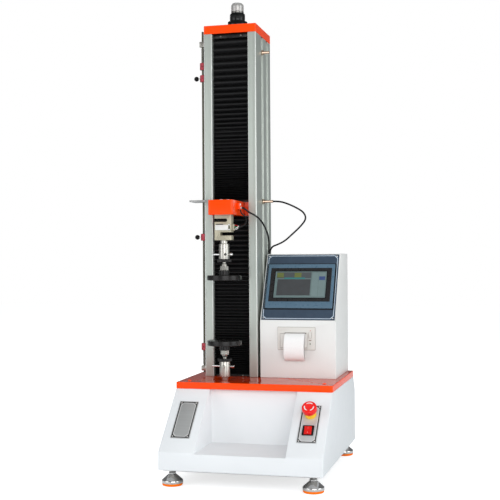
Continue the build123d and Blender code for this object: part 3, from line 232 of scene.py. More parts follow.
# Simple ones: colour, other colour, roughness, and where they aren't zero, metallic and coat
simpleLooks = {
    "switchPlate": ((0.62, 0.63, 0.63), (0.58, 0.59, 0.59), 0.38, 0.3),
    # Painted shade for the thin gaps round the printer body and its feed button
    "seam": ((0.34, 0.30, 0.27), (0.30, 0.26, 0.23), 0.5),
    "slotShade": ((0.10, 0.075, 0.06), (0.08, 0.06, 0.05), 0.5),
    # Painted highlight, for the columns' front edges and the cover's screw heads
    "edgeBright": ((0.86, 0.87, 0.84), (0.82, 0.83, 0.80), 0.34, 0.3),
    "rockerInk": ((0.90, 0.35, 0.30), (0.85, 0.32, 0.28), 0.4),
    "rod": ((0.115, 0.110, 0.085), (0.085, 0.080, 0.060), 0.3, 0.8),
    "spring": ((0.30, 0.29, 0.26), (0.22, 0.21, 0.19), 0.28, 0.9),
    "copper": ((0.66, 0.50, 0.38), (0.56, 0.42, 0.31), 0.16, 1.0),
    "whiteInk": ((0.84, 0.83, 0.82), (0.78, 0.77, 0.76), 0.5),
    # Dark print for the plates' lines, and painted shade inside the set-screw hole
    "darkLine": ((0.018, 0.018, 0.018), (0.013, 0.013, 0.014), 0.5, 0.1),
    "paleLine": ((0.60, 0.70, 0.80), (0.56, 0.66, 0.76), 0.45),
    "navy": ((0.034, 0.056, 0.088), (0.042, 0.068, 0.104), 0.34, 0.0, 0.2),
    "frameBlue": ((0.088, 0.158, 0.224), (0.078, 0.144, 0.206), 0.3, 0.0, 0.2),
    "glass": ((0.010, 0.010, 0.011), (0.007, 0.007, 0.008), 0.07, 0.0, 0.5),
    "bezelBlack": ((0.018, 0.018, 0.019), (0.013, 0.013, 0.014), 0.3),
    "screenEdge": ((0.130, 0.185, 0.185), (0.118, 0.168, 0.168), 0.35),
    "screenDark": ((0.075, 0.085, 0.090), (0.068, 0.078, 0.083), 0.35),
    "screenGraph": ((0.056, 0.060, 0.064), (0.051, 0.055, 0.058), 0.35),
    "screenYellow": ((0.135, 0.160, 0.048), (0.120, 0.145, 0.042), 0.35),
    "screenTeal": ((0.030, 0.190, 0.195), (0.026, 0.170, 0.175), 0.35),
    "screenPale": ((0.165, 0.225, 0.225), (0.150, 0.208, 0.208), 0.35),
    "screenBlue": ((0.045, 0.075, 0.200), (0.040, 0.068, 0.185), 0.35),
    "redLight": ((0.62, 0.010, 0.010), (0.50, 0.008, 0.008), 0.15, 0.0, 0.5),
    "greenLight": ((0.05, 0.14, 0.03), (0.04, 0.11, 0.025), 0.2, 0.0, 0.2),
    "brownInk": ((0.20, 0.10, 0.06), (0.17, 0.085, 0.05), 0.5),
    "label": ((0.74, 0.74, 0.72), (0.70, 0.70, 0.68), 0.4),
    "darkGreen": ((0.020, 0.032, 0.028), (0.014, 0.022, 0.019), 0.35, 0.2),
    "redWire": ((0.62, 0.015, 0.012), (0.52, 0.012, 0.010), 0.4),
    "greenWire": ((0.03, 0.26, 0.07), (0.025, 0.21, 0.055), 0.4),
    "whiteWire": ((0.76, 0.76, 0.74), (0.70, 0.70, 0.68), 0.4),
}


def makeFinish(name, color, roughness, shine, other, rough=None, relief=None):
    material = newMaterial(name, color, roughness, **shine)
    tint(material, *other)
    if rough is not None:
        roughen(material, *rough)
    if relief is not None:
        emboss(material, *relief)
    return material


finish = {name: makeFinish(*look) for name, look in finishLooks.items()}
for name, (color, other, rough, *shine) in simpleLooks.items():
    finish[name] = makeFinish(name, color, rough, dict(zip(("metallic", "coat"), shine)), (other, 60),
                              (rough * 0.85, rough * 1.2, 150))
print("finishes ready")


# Meshes
def newPiece(name, mesh, look=None):
    piece = bpy.data.objects.new(name, mesh)
    scene.collection.objects.link(piece)
    if look is not None:
        mesh.materials.clear()
        mesh.materials.append(finish[look])
    return piece


def pieceFrom(name, mesh, look=None, place=None):
    # An object from a bmesh, moved to its place first
    if place is not None:
        bmesh.ops.transform(mesh, matrix=place, verts=mesh.verts)
    data = bpy.data.meshes.new(name)
    mesh.to_mesh(data)
    mesh.free()
    return newPiece(name, data, look)


def meshOf(piece):
    mesh = bmesh.new()
    mesh.from_mesh(piece.data)
    return mesh


def keepMesh(mesh, piece):
    mesh.to_mesh(piece.data)
    mesh.free()
    return piece


# Points of the CAD's meshes that lie closer than this are one
mergeGap = 0.000002


def settle(piece):
    # Applies every modifier and leaves a plain mesh at the origin
    view = bpy.context.evaluated_depsgraph_get()
    view.update()
    mesh = bpy.data.meshes.new_from_object(piece.evaluated_get(view))
    piece.modifiers.clear()
    piece.data = mesh
    return piece


def smoothByAngle(piece, degrees=32):
    mesh = meshOf(piece)
    for face in mesh.faces:
        face.smooth = True
    for edge in mesh.edges:
        edge.smooth = len(edge.link_faces) == 2 and edge.calc_face_angle(0) < math.radians(degrees)
    return keepMesh(mesh, piece)


def refined(node, look, width, segments, keep=None):
    # A copy of a CAD node with its edges rounded; keep tests a solid's lowest and highest corner
    mesh = meshOf(nodes[node])
    bmesh.ops.remove_doubles(mesh, verts=mesh.verts, dist=mergeGap)
    if keep is not None:
        dropLooseSolids(mesh, keep)
    bmesh.ops.dissolve_limit(mesh, angle_limit=math.radians(0.5), verts=mesh.verts, edges=mesh.edges)
    piece = pieceFrom(node + "Skin", mesh, look)
    bevel = piece.modifiers.new("bevel", "BEVEL")
    bevel.width = width
    bevel.segments = segments
    bevel.limit_method = "ANGLE"
    bevel.angle_limit = math.radians(35)
    bevel.use_clamp_overlap = False
    bevel.harden_normals = False
    return smoothByAngle(settle(piece))


def paint(piece, look, test):
    # Another finish for the faces that pass the test
    piece.data.materials.append(finish[look])
    number = len(piece.data.materials) - 1
    for face in piece.data.polygons:
        if test(face):
            face.material_index = number
    return piece


def solidsOf(mesh):
    left = set(mesh.verts)
    while left:
        island, rim = set(), [left.pop()]
        while rim:
            vertex = rim.pop()
            island.add(vertex)
            for other in {edge.other_vert(vertex) for edge in vertex.link_edges} & left:
                left.discard(other)
                rim.append(other)
        yield island


def dropLooseSolids(mesh, keep):
    for island in list(solidsOf(mesh)):
        low, high = (Vector([pick(vertex.co[axis] for vertex in island) for axis in range(3)])
                     for pick in (min, max))
        if not keep(low, high):
            bmesh.ops.delete(mesh, geom=list(island), context="VERTS")


def joined(name, pieces):
    # One object from several, each with its own material kept
    mesh = bmesh.new()
    materials = []
    for piece in pieces:
        start = len(mesh.faces)
        mesh.from_mesh(piece.data)
        mesh.faces.ensure_lookup_table()
        places = []
        for material in piece.data.materials:
            if material not in materials:
                materials.append(material)
            places.append(materials.index(material))
        for face in mesh.faces[start:]:
            face.material_index = places[face.material_index] if places else 0
    whole = pieceFrom(name, mesh)
    for material in materials:
        whole.data.materials.append(material)
    for piece in pieces:
        bpy.data.objects.remove(piece)
    return whole


def circle(radius, sides, offset=0.0):
    angles = [2 * math.pi * (side + offset) / sides for side in range(sides)]
    return [(radius * math.cos(angle), radius * math.sin(angle)) for angle in angles]


def bridge(mesh, rings):
    # Faces between neighbouring rings of vertices; a ring of one vertex is a pole
    for lower, upper in zip(rings, rings[1:]):
        sides = max(len(lower), len(upper))
        for side in range(sides):
            after = (side + 1) % sides
            corners = dict.fromkeys((lower[side % len(lower)], lower[after % len(lower)],
                                     upper[after % len(upper)], upper[side % len(upper)]))
            if len(corners) > 2:
                mesh.faces.new(list(corners))


def lathe(name, profile, look, place=None, sides=72):
    # A turned piece from (radius, height) points, closed where the radius is zero
    mesh = bmesh.new()
    bridge(mesh, [[mesh.verts.new((x, y, height)) for x, y in circle(radius, sides if radius > 0 else 1)]
                  for radius, height in profile])
    bmesh.ops.recalc_face_normals(mesh, faces=mesh.faces)
    return smoothByAngle(pieceFrom(name, mesh, look, place), 40)


def blockMesh(name, low, high, look, width=0.00003, place=None):
    mesh = bmesh.new()
    bmesh.ops.create_cube(mesh, size=1)
    low, high = Vector(low), Vector(high)
    bmesh.ops.scale(mesh, vec=high - low, verts=mesh.verts)
    bmesh.ops.translate(mesh, vec=(low + high) / 2, verts=mesh.verts)
    if width > 0:
        bmesh.ops.bevel(mesh, geom=mesh.edges[:], offset=width, segments=2, affect="EDGES", profile=0.5)
    return smoothByAngle(pieceFrom(name, mesh, look, place), 40)


def outlinePlate(name, outline, thickness, look, place, width):
    # A flat plate from an outline in the place's own X and Y, standing up along its Z
    mesh = bmesh.new()
    face = mesh.faces.new([mesh.verts.new((x, y, 0)) for x, y in outline])
    made = bmesh.ops.extrude_face_region(mesh, geom=[face])
    top = [item for item in made["geom"] if isinstance(item, bmesh.types.BMVert)]
    bmesh.ops.translate(mesh, vec=(0, 0, thickness), verts=top)
    bmesh.ops.recalc_face_normals(mesh, faces=mesh.faces)
    edges = [edge for edge in mesh.edges if all(vertex in top for vertex in edge.verts)]
    bmesh.ops.bevel(mesh, geom=edges, offset=width, segments=2, affect="EDGES", profile=0.5)
    return smoothByAngle(pieceFrom(name, mesh, look, place), 40)


def planeAt(origin, across, outward):
    across = Vector(across).normalized()
    outward = Vector(outward).normalized()
    turn = Matrix((across, outward.cross(across), outward)).transposed().to_4x4()
    return Matrix.Translation(origin) @ turn


def facingFront(origin):
    return planeAt(origin, (1, 0, 0), (0, -1, 0))


# Geometry Nodes
class TreeMaker:
    # A node tree with named inputs, kept short to write
    def __init__(self, name, inputs):
        self.tree = bpy.data.node_groups.new(name, "GeometryNodeTree")
        sockets = [("Geometry", "INPUT", "Geometry"), ("Geometry", "OUTPUT", "Geometry"),
                   ("Material", "INPUT", "Material"), *((label, "INPUT", kind) for label, kind in inputs)]
        for label, side, kind in sockets:
            self.tree.interface.new_socket(name=label, in_out=side, socket_type="NodeSocket" + kind)
        self.given = self.add("NodeGroupInput").outputs

    def add(self, kind, inputs=None, **settings):
        return addNode(self.tree, kind, inputs, **settings)

    def geometry(self, kind, inputs=None, **settings):
        return self.add("GeometryNode" + kind, inputs, **settings)

    def math(self, operation, first, second=0.0):
        return mathNode(self.tree, operation, first, second)

    def finish(self, shape):
        whole = self.geometry("RealizeInstances", {"Geometry": shape})
        dressed = self.geometry("SetMaterial", {"Geometry": whole, "Material": self.given["Material"]})
        self.add("NodeGroupOutput", {"Geometry": dressed})
        return self.tree


def grow(name, kind, look, values, base=None):
    # Runs a tree on a base mesh and keeps the result as a plain mesh
    piece = newPiece(name, base or bpy.data.meshes.new(name))
    modifier = piece.modifiers.new("grow", "NODES")
    modifier.node_group = trees[kind]
    values = {"Material": finish[look], **values}
    for item in trees[kind].interface.items_tree:
        if item.item_type == "SOCKET" and item.in_out == "INPUT" and item.name in values:
            modifier[item.identifier] = values[item.name]
    return settle(piece)


def helixTree():
    # A round wire wound about Z, for springs and threads
    maker = TreeMaker("helixTree", [
        ("Turns", "Float"), ("Radius", "Float"), ("Height", "Float"), ("Wire", "Float"),
        ("Wire Sides", "Int"), ("Steps", "Int"), ("Place", "Vector")])
    given = maker.given
    spiral = maker.geometry("CurveSpiral", {
        "Resolution": given["Steps"], "Rotations": given["Turns"], "Start Radius": given["Radius"],
        "End Radius": given["Radius"], "Height": given["Height"]})
    wire = maker.geometry("CurvePrimitiveCircle", {
        "Resolution": given["Wire Sides"], "Radius": given["Wire"]})
    tube = maker.geometry("CurveToMesh", {"Curve": spiral, "Profile Curve": wire, "Fill Caps": True})
    return maker.finish(maker.geometry("Transform", {"Geometry": tube, "Translation": given["Place"]}))


def copiesOn(maker, points, turn):
    shape = maker.geometry("ObjectInfo", {"Object": maker.given["Shape"]})
    return maker.finish(maker.geometry("InstanceOnPoints", {
        "Points": points, "Instance": shape.outputs["Geometry"], "Rotation": turn}))


def ringTree():
    # Copies of one shape around a circle about Z
    maker = TreeMaker("ringTree", [("Shape", "Object"), ("Count", "Int"), ("Radius", "Float")])
    points = maker.geometry("MeshCircle", {"Vertices": maker.given["Count"],
                                           "Radius": maker.given["Radius"]})
    parts = maker.add("ShaderNodeSeparateXYZ", {"Vector": maker.geometry("InputPosition")})
    angle = maker.math("ARCTAN2", parts.outputs["Y"], parts.outputs["X"])
    return copiesOn(maker, points, maker.add("ShaderNodeCombineXYZ", {"Z": angle}))


def spotTree():
    # Copies of one shape at each point of the base mesh, turned by its "turn" attribute
    maker = TreeMaker("spotTree", [("Shape", "Object")])
    points = maker.geometry("MeshToPoints", {"Mesh": maker.given["Geometry"]})
    turn = maker.geometry("InputNamedAttribute", {"Name": "turn"}, data_type="FLOAT_VECTOR")
    return copiesOn(maker, points, turn.outputs["Attribute"])


def spotMesh(name, places):
    # The base mesh for spotTree: one vertex for each placing matrix
    mesh = bpy.data.meshes.new(name)
    mesh.from_pydata([tuple(place.translation) for place in places], [], [])
    turn = mesh.attributes.new("turn", "FLOAT_VECTOR", "POINT")
    for index, place in enumerate(places):
        turn.data[index].vector = tuple(place.to_euler())
    return mesh


def pleatTree():
    # A folded strip along Z: each pleat is the one before it times Ratio; Depth runs along Y
    maker = TreeMaker("pleatTree", [
        ("Start", "Float"), ("First Pitch", "Float"), ("Ratio", "Float"), ("First Pleat", "Int"),
        ("Pleats", "Int"), ("Steps", "Int"), ("Front", "Float"), ("Depth", "Float"), ("Left", "Float"),
        ("Width", "Float"), ("Corner", "Float"), ("Sharpness", "Float")])
    given = maker.given
    add, subtract, multiply, divide, power = (
        partial(maker.math, word) for word in ("ADD", "SUBTRACT", "MULTIPLY", "DIVIDE", "POWER"))
    count = add(multiply(given["Pleats"], given["Steps"]), 1.0)
    grid = maker.geometry("MeshGrid", {"Vertices X": 4, "Vertices Y": count})
    place = maker.add("ShaderNodeSeparateXYZ", {"Vector": maker.geometry("InputPosition")}).outputs
    index = maker.math("ROUND", multiply(add(place["Y"], 0.5), subtract(count, 1.0)))
    pleat = add(divide(index, given["Steps"]), given["First Pleat"])
    run = divide(subtract(1.0, power(given["Ratio"], pleat)), subtract(1.0, given["Ratio"]))
    height = add(given["Start"], multiply(given["First Pitch"], run))
    wave = multiply(subtract(1.0, maker.math("COSINE", multiply(pleat, 2 * math.pi))), 0.5)
    ridge = power(wave, given["Sharpness"])
    # The grid's inner columns are the pleats' bottom, its outer ones their corners
    inner = maker.math("LESS_THAN", maker.math("ABSOLUTE", place["X"]), 0.3)
    inward = multiply(multiply(subtract(1.0, ridge), given["Depth"]), inner)
    half = multiply(given["Width"], 0.5)
    reach = subtract(half, multiply(inner, given["Corner"]))
    across = add(add(given["Left"], half), multiply(maker.math("SIGN", place["X"]), reach))
    target = maker.add("ShaderNodeCombineXYZ", {
        "X": across, "Y": add(given["Front"], inward), "Z": height})
    return maker.finish(maker.geometry("SetPosition", {"Geometry": grid, "Position": target}))


trees = {"helix": helixTree(), "ring": ringTree(), "spot": spotTree(), "pleat": pleatTree()}
print("node trees ready")


def helix(name, turns, radius, height, wire, place, look, sides=6, steps=24):
    return grow(name, "helix", look, {"Turns": turns, "Radius": radius, "Height": height, "Wire": wire,
                                      "Wire Sides": sides, "Steps": steps, "Place": place})


def around(name, shape, count, radius, look, place):
    # The shape at even steps about Z
    piece = grow(name, "ring", look, {"Shape": shape, "Count": count, "Radius": radius})
    piece.data.transform(place)
    bpy.data.objects.remove(shape)
    return piece


def screwHeads(name, shape, places, look="chrome"):
    return smoothByAngle(grow(name, "spot", look, {"Shape": shape}, spotMesh(name, places)), 40)


record = frame["record"]
slotOf = {row["node"]: row["material_slot"] for row in record["subparts"]}
bodyOf = {node: body for body, group in record["behaviour"]["bodies"].items() for node in group}


def inPlaceOf(piece, node):
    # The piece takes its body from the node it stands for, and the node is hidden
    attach(piece, bodyOf[node])
    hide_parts(node)


def addTo(piece, node, slot=None):
    # A detail on a node that is shown by another piece
    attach(piece, bodyOf[node])
    slot or slotOf[node]


tiltedFaces = {
    "slope": {"foot": (-0.275, 0.090), "run": 152, "rise": 145},
    "boxFront": {"foot": (0.020, 0.413), "run": 95, "rise": 189},
}


def onTilt(face, x, s, h=0.0):
    # A place on a tilted face: s up the face from its foot, h out of it
    foot, run, rise = tiltedFaces[face].values()
    up = Vector((0, run, rise)).normalized()
    outward = Vector((0, -rise, run)).normalized()
    return planeAt(Vector((x, *foot)) + up * s + outward * h, (1, 0, 0), outward)


# Stage
stageSizes = {
    "skies": (((0.95, 0.98, 1.0), 0.42), ((0.95, 0.97, 1.0), 0.17), ((1, 1, 1), 1.0)),
    "floorReach": 9, "floorColor": (0.86, 0.87, 0.88), "floorGlow": 0.65, "middle": (0, 0, 0.65),
    "lights": {
        "keyLight": ((1.2, -3.1, 1.2), (2.5, 2.5), 54, (1, 1, 1)),
        "sideLight": ((3.0, -0.6, 1.3), (2.0, 2.5), 38, (0.94, 0.98, 1)),
        "fillLight": ((-2.3, -2.3, 1.2), (2.2, 2.5), 31, (0.96, 0.98, 1)),
        "topLight": ((0, 0.2, 3.2), (2.2, 2.2), 5, (1, 1, 1)),
        "rimLight": ((-1.2, 2.6, 2.0), (1.6, 1.6), 24, (1, 1, 1)),
    },
}


def makeWorld():
    # White to the camera, softer as a light, darker in what mirrors it
    world = bpy.data.worlds.new("studioWorld")
    scene.world = world
    world.use_nodes = True
    tree = world.node_tree
    tree.nodes.clear()
    rays = addNode(tree, "ShaderNodeLightPath").outputs
    soft, mirrored, white = [
        addNode(tree, "ShaderNodeBackground", {"Color": (*color, 1), "Strength": strength})
        for color, strength in stageSizes["skies"]]
    below = addNode(tree, "ShaderNodeMixShader", {0: rays["Is Glossy Ray"], 1: soft, 2: mirrored})
    seen = mathNode(tree, "MAXIMUM", rays["Is Camera Ray"], rays["Is Transmission Ray"])
    mix = addNode(tree, "ShaderNodeMixShader", {0: seen, 1: below, 2: white})
    addNode(tree, "ShaderNodeOutputWorld", {0: mix})


def makeFloor():
    reach = stageSizes["floorReach"]
    corners = [(-reach, -reach, 0), (reach, -reach, 0), (reach, reach, 0), (-reach, reach, 0)]
    mesh = bpy.data.meshes.new("studioFloor")
    mesh.from_pydata(corners, [], [(0, 1, 2, 3)])
    material = newMaterial("paleFloor", stageSizes["floorColor"], 0.9, specular=0)
    tree = material.node_tree
    inputs = tree.nodes["Principled BSDF"].inputs
    inputs["Emission Color"].default_value = (1, 1, 1, 1)
    rays = addNode(tree, "ShaderNodeLightPath")
    feed(tree, inputs["Emission Strength"], mathNode(tree, "MULTIPLY", rays.outputs["Is Camera Ray"],
                                                     stageSizes["floorGlow"]))
    mesh.materials.append(material)
    floor = newPiece("studioFloor", mesh)


def areaLight(name, position, size, power, color):
    data = bpy.data.lights.new(name, "AREA")
    data.shape = "RECTANGLE"
    data.size, data.size_y = size
    data.energy = power
    data.color = color
    lamp = bpy.data.objects.new(name, data)
    aim = (Vector(stageSizes["middle"]) - Vector(position)).to_track_quat("-Z", "Y").to_matrix().to_4x4()
    lamp.matrix_world = Matrix.Translation(position) @ aim
    scene.collection.objects.link(lamp)


makeWorld()
makeFloor()
for name, sizes in stageSizes["lights"].items():
    areaLight(name, *sizes)
scene.view_settings.view_transform = "Standard"
print("stage ready")


# Cords, along the routes of the CAD solids
cordSizes = {
    "crosshead_cable": {"diameter": 0.005, "length": 0.577, "lay": "hanging", "points": [
        (-53.2, -27.5, 731.5), (-46, -28, 730.5), (-36, -20, 720), (-22, -6, 712), (-13, 8, 703.5),
        (-6, 34, 688), (-4, 74, 664), (-6, 104, 640), (-13, 130, 612), (-17.6, 140, 565), (-18, 140, 505),
        (-18.3, 141, 450), (-18, 140, 400), (-18.2, 141, 350), (-18, 140, 300), (-18, 140.2, 253.4)]},
    "side_cable": {"diameter": 0.005, "length": 0.635, "lay": "loose", "points": [
        (8.3, 98, 755), (27, 98, 755), (50, 97, 748), (76, 99, 736), (98, 102, 722), (104, 108, 703),
        (84, 118, 681), (58, 128, 660), (33, 138, 640), (9, 147, 630), (-10, 152, 624),
        (-18.8, 157, 602), (-18.2, 158, 570), (-18, 157, 515), (-18.3, 158, 460), (-18, 157, 405),
        (-18.3, 158, 350), (-18, 157, 300), (-18, 157.2, 253.4)]},
    "load_cell_lead": {"diameter": 0.004, "length": 0.082, "lay": "loose", "points": [
        (-68.7, -48, 676), (-58, -48, 676.5), (-45, -43, 680), (-39, -34, 690), (-40, -28, 701),
        (-47, -27.5, 711), (-56, -27.5, 717), (-57, -27.5, 726)]},
}


def cordCurve(name, points, radius=0.0):
    data = bpy.data.curves.new(name, "CURVE")
    data.dimensions = "3D"
    data.resolution_u = 12
    data.bevel_depth = radius
    data.bevel_resolution = 5
    data.use_fill_caps = radius > 0
    spline = data.splines.new("NURBS")
    spline.points.add(len(points) - 1)
    for place, point in zip(spline.points, points):
        place.co = (*(value / 1000 for value in point), 1)
    spline.order_u = 3
    spline.use_endpoint_u = True
    curve = bpy.data.objects.new(name, data)
    scene.collection.objects.link(curve)
    return curve


def centreLine(curve):
    view = bpy.context.evaluated_depsgraph_get()
    mesh = bpy.data.meshes.new_from_object(curve.evaluated_get(view))
    points = [vertex.co.copy() for vertex in mesh.vertices]
    bpy.data.meshes.remove(mesh)
    return points


def tubeAlong(name, points, radius, look, sides=14):
    # Rings of points carried along the line without twisting
    mesh = bmesh.new()
    rings = []
    across = Vector((1, 0, 0))
    for index, point in enumerate(points):
        ahead = points[min(index + 1, len(points) - 1)] - points[max(index - 1, 0)]
        ahead.normalize()
        across = across - ahead * across.dot(ahead)
        if across.length < 0.05:
            across = ahead.orthogonal()
        across.normalize()
        other = ahead.cross(across)
        rings.append([mesh.verts.new(point + across * x + other * y) for x, y in circle(radius, sides)])
    bridge(mesh, rings)
    mesh.faces.new(rings[0][::-1])
    mesh.faces.new(rings[-1])
    bmesh.ops.recalc_face_normals(mesh, faces=mesh.faces)
    return smoothByAngle(pieceFrom(name, mesh, look), 50)


def makeCords():
    for name, sizes in cordSizes.items():
        exitPoint = tuple(value / 1000 for value in sizes["points"][0])
        if name == "crosshead_cable":
            guide = cordCurve(name + "Guide", sizes["points"])
            path = centreLine(guide)
            bpy.data.objects.remove(guide)
            cable = tubeAlong("crossheadCable", path, sizes["diameter"] / 2, "jacket")
            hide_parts(name)
            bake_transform(cable)
            continue
        cable = cordCurve(name + "Jacket", sizes["points"], sizes["diameter"] / 2)
        cable.data.materials.append(finish["jacket"])
        inPlaceOf(cable, name)


makeCords()
print("cords ready")


# Bellows, in runs of pleats
bellowsSizes = {
    "upper_bellows": {"top": 1.224, "bottom": 0.757, "pleats": 44, "ratio": 0.962, "fixed": "top"},
    "lower_bellows": {"top": 0.7085, "bottom": 0.258, "pleats": 50, "ratio": 0.975, "fixed": "bottom"},
}
bellowsShape = {"Front": 0.034, "Depth": 0.0176, "Left": -0.151, "Width": 0.104, "Corner": 0.003,
                "Steps": 10, "Sharpness": 0.62}
bellowsRuns = 8
# A share of the height for weighting the runs from the fixed end; the weights made from it are not used
endShare = 0.65


def inverseSmooth(weight):
    return 0.5 - math.sin(math.asin(1 - 2 * weight) / 3)


def makeBellows(node, sizes):
    top, pleats, ratio = sizes["top"], sizes["pleats"], sizes["ratio"]
    height = top - sizes["bottom"]
    first = height * (1 - ratio) / (1 - ratio ** pleats)
    levels = [top - first * (1 - ratio ** count) / (1 - ratio) for count in range(pleats + 1)]
    cuts = [0]
    for run in range(1, bellowsRuns):
        wanted = top - height * run / bellowsRuns
        cuts.append(max(cuts[-1] + 1, min(range(pleats), key=lambda count: abs(levels[count] - wanted))))
    cuts.append(pleats)
    # How far each cut is from the fixed end, as a share of the height
    shares = [abs(levels[cut] - sizes[sizes["fixed"]]) / height for cut in cuts]
    order = list(range(len(cuts)))[::1 if sizes["fixed"] == "top" else -1]
    nearest, farthest = shares[order[1]], shares[order[-2]]
    low, high = endShare * nearest, 1 - endShare * (1 - farthest)
    weights = [min(max(low + (high - low) * ((share - nearest) / (farthest - nearest)), 0), 1)
               for share in shares]
    weights[order[0]], weights[order[-1]] = 0, 1
    for number, (near, far) in enumerate(zip(order, order[1:])):
        begin, finishAt = cuts[min(near, far)], cuts[max(near, far)]
        piece = grow(f"{node}Run{number}", "pleat", "bellows", {
            "Start": top, "First Pitch": -first, "Ratio": ratio, "First Pleat": begin,
            "Pleats": finishAt - begin, **bellowsShape})
        smoothByAngle(piece, 70)
        s0, s1 = inverseSmooth(weights[near]), inverseSmooth(weights[far])
        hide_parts(node)
        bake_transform(piece)


for node, sizes in bellowsSizes.items():
    makeBellows(node, sizes)
print("bellows ready")


# Plain pieces: copies of the CAD nodes with rounded edges
plainPieces = {
    "base_cabinet": ("powder", 0.0014, 3), "bottom_tray": ("zinc", 0.0005, 1),
    "rear_panel": ("powder", 0.0005, 2), "mains_inlet": ("black", 0.0005, 2),
    "table_plate": ("orange", 0.0016, 3), "column_left": ("anodised", 0.0015, 3),
    "column_right": ("anodised", 0.0015, 3), "column_back": ("anodised", 0.0004, 1),
    "column_cap": ("orange", 0.0014, 3), "end_blocks": ("blackSteel", 0.0004, 2),
    "guide_rods": ("chrome", 0.0006, 2), "screw_pulley": ("blackSteel", 0.0004, 1),
    "motor_pulley": ("blackSteel", 0.0004, 1), "motor": ("black", 0.001, 2),
    "drive_belt": ("jacket", 0.0003, 1), "carriage": ("blackSteel", 0.0006, 2),
    "carriage_bushings": ("bronze", 0.0004, 1),
    "striker_arm": ("zinc", 0.0005, 2), "load_cell": ("loadCell", 0.0006, 2),
    "upper_adapter": ("steel", 0.0007, 3), "lower_adapter": ("steel", 0.0007, 3),
    "upper_cross_pin": ("chrome", 0.0003, 2), "lower_cross_pin": ("chrome", 0.0004, 2),
    "limit_brackets": ("steel", 0.0006, 2), "side_fittings": ("copper", 0.0004, 2),
    "rocker_bezel": ("glossBlack", 0.0006, 2),
    "rocker": ("rockerRed", 0.0006, 3), "control_box": ("boxPaint", 0.0014, 3),
    "printer_body": ("offWhite", 0.0007, 3), "printer_door": ("offWhite", 0.0004, 2),
    "feed_button": ("offWhite", 0.0004, 2), "paper_roll": ("paper", 0.0004, 1),
}
bandSizes = {"tableTop": 0.2529, "carriage": (0.7125, 0.7520), "carriageFront": 0.053,
             "edgeTilt": 0.35, "edgeDepth": 0.03}


def cutAt(piece, height):
    # Level cuts, so that a band of faces can take another finish
    mesh = meshOf(piece)
    bmesh.ops.bisect_plane(mesh, geom=[*mesh.verts, *mesh.edges, *mesh.faces], dist=mergeGap / 2,
                           plane_co=(0, 0, height), plane_no=(0, 0, 1))
    return keepMesh(mesh, piece)


def onFrontEdge(face):
    # Painted highlight: the rounded edges along the front take a brighter finish where they catch the
    # light
    across, depth, _ = face.normal
    tilt = bandSizes["edgeTilt"]
    return abs(across) > tilt and depth < -tilt and face.center.y < bandSizes["edgeDepth"]


def makePlainPieces():
    for node, (look, width, segments) in plainPieces.items():
        piece = refined(node, look, width, segments)
        if node in ("column_left", "column_right"):
            paint(piece, "edgeBright", onFrontEdge)
        if node == "table_plate":
            # Painted shade: the top faces take the darker copy of the orange
            paint(piece, "tableTop", lambda face: face.center.z > bandSizes["tableTop"])
        if node == "carriage":
            # Its front shows beside the crosshead cover, in the same orange
            low, high = bandSizes["carriage"]
            cutAt(cutAt(piece, low), high)
            paint(piece, "orange", lambda face: (
                face.center.y < bandSizes["carriageFront"] and low < face.center.z < high))
        inPlaceOf(piece, node)


makePlainPieces()
print("plain pieces ready")


def flatRing(name, outer, inner, height, look, place):
    # A thin flat band between two outlines with the same number of corners: printed lines, and painted
    # shade in gaps
    mesh = bmesh.new()
    bridge(mesh, [[mesh.verts.new((x, y, height)) for x, y in outline] for outline in (outer, inner)])
    return pieceFrom(name, mesh, look, place)


def cutCorners(half, cut):
    # A rectangle about the middle with its corners cut off
    x, y = half
    return [(x - cut, -y), (x, -y + cut), (x, y - cut), (x - cut, y),
            (-x + cut, y), (-x, y - cut), (-x, -y + cut), (-x + cut, -y)]


def border(name, half, outer, inner, look, place, height=0.0001):
    # A line round a rectangle; each of its two outlines has an inset and a corner cut
    outlines = [cutCorners([size - inset for size in half], cut) for inset, cut in (outer, inner)]
    return flatRing(name, *outlines, height, look, place)


def collarProfile(bore, radius, low, high, cut):
    return [(bore, low), (radius - cut, low), (radius, low + cut), (radius, high - cut),
            (radius - cut, high), (bore, high), (bore, low)]


def polyTube(name, points, radius, look, sides=10):
    guide = cordCurve(name + "Guide", [tuple(value * 1000 for value in point) for point in points])
    path = centreLine(guide)
    bpy.data.objects.remove(guide)
    return tubeAlong(name, path, radius, look, sides)


# Signal lamp
lampSizes = {
    "place": (-0.099, 0.110, 1.259),
    "looks": {"body": "glossBlack", "seat": "glossBlack", "ring": "steel", "collar": "glossBlack",
              "dome": "frost", "reflector": "chrome"},
    "body": [(0, 0), (0.0292, 0), (0.0295, 0.0004), (0.0295, 0.0250), (0.0290, 0.0259), (0.0280, 0.0264),
             (0.0230, 0.0287), (0.0222, 0.0292), (0.0222, 0.0484), (0.0216, 0.0497), (0.0206, 0.0500),
             (0, 0.0500)],
    "collar": [(0, 0.0501), (0.0187, 0.0501), (0.0190, 0.0504), (0.0190, 0.0524), (0, 0.0524)],
    "ring": [(0, 0.0525), (0.0186, 0.0525), (0.0189, 0.0528), (0.0189, 0.0540), (0, 0.0540)],
    "seat": [(0, 0.0541), (0.0187, 0.0541), (0.0187, 0.0559), (0, 0.0559)],
    "dome": [(0, 0.0562), (0.0181, 0.0562), (0.0185, 0.0567), (0.0185, 0.0724), (0.0181, 0.0757),
             (0.0169, 0.0786), (0.0148, 0.0808), (0.0115, 0.0820), (0.0072, 0.0824), (0, 0.0825)],
    "reflector": [(0, 0.0564), (0.0160, 0.0564), (0.0160, 0.0582), (0.0062, 0.0640), (0.0056, 0.0750),
                  (0.0040, 0.0768), (0, 0.0771)],
    "ribs": 30, "ribRadius": 0.0219, "rib": ((-0.0003, -0.0007, 0.0300), (0.00055, 0.0007, 0.0482)),
}


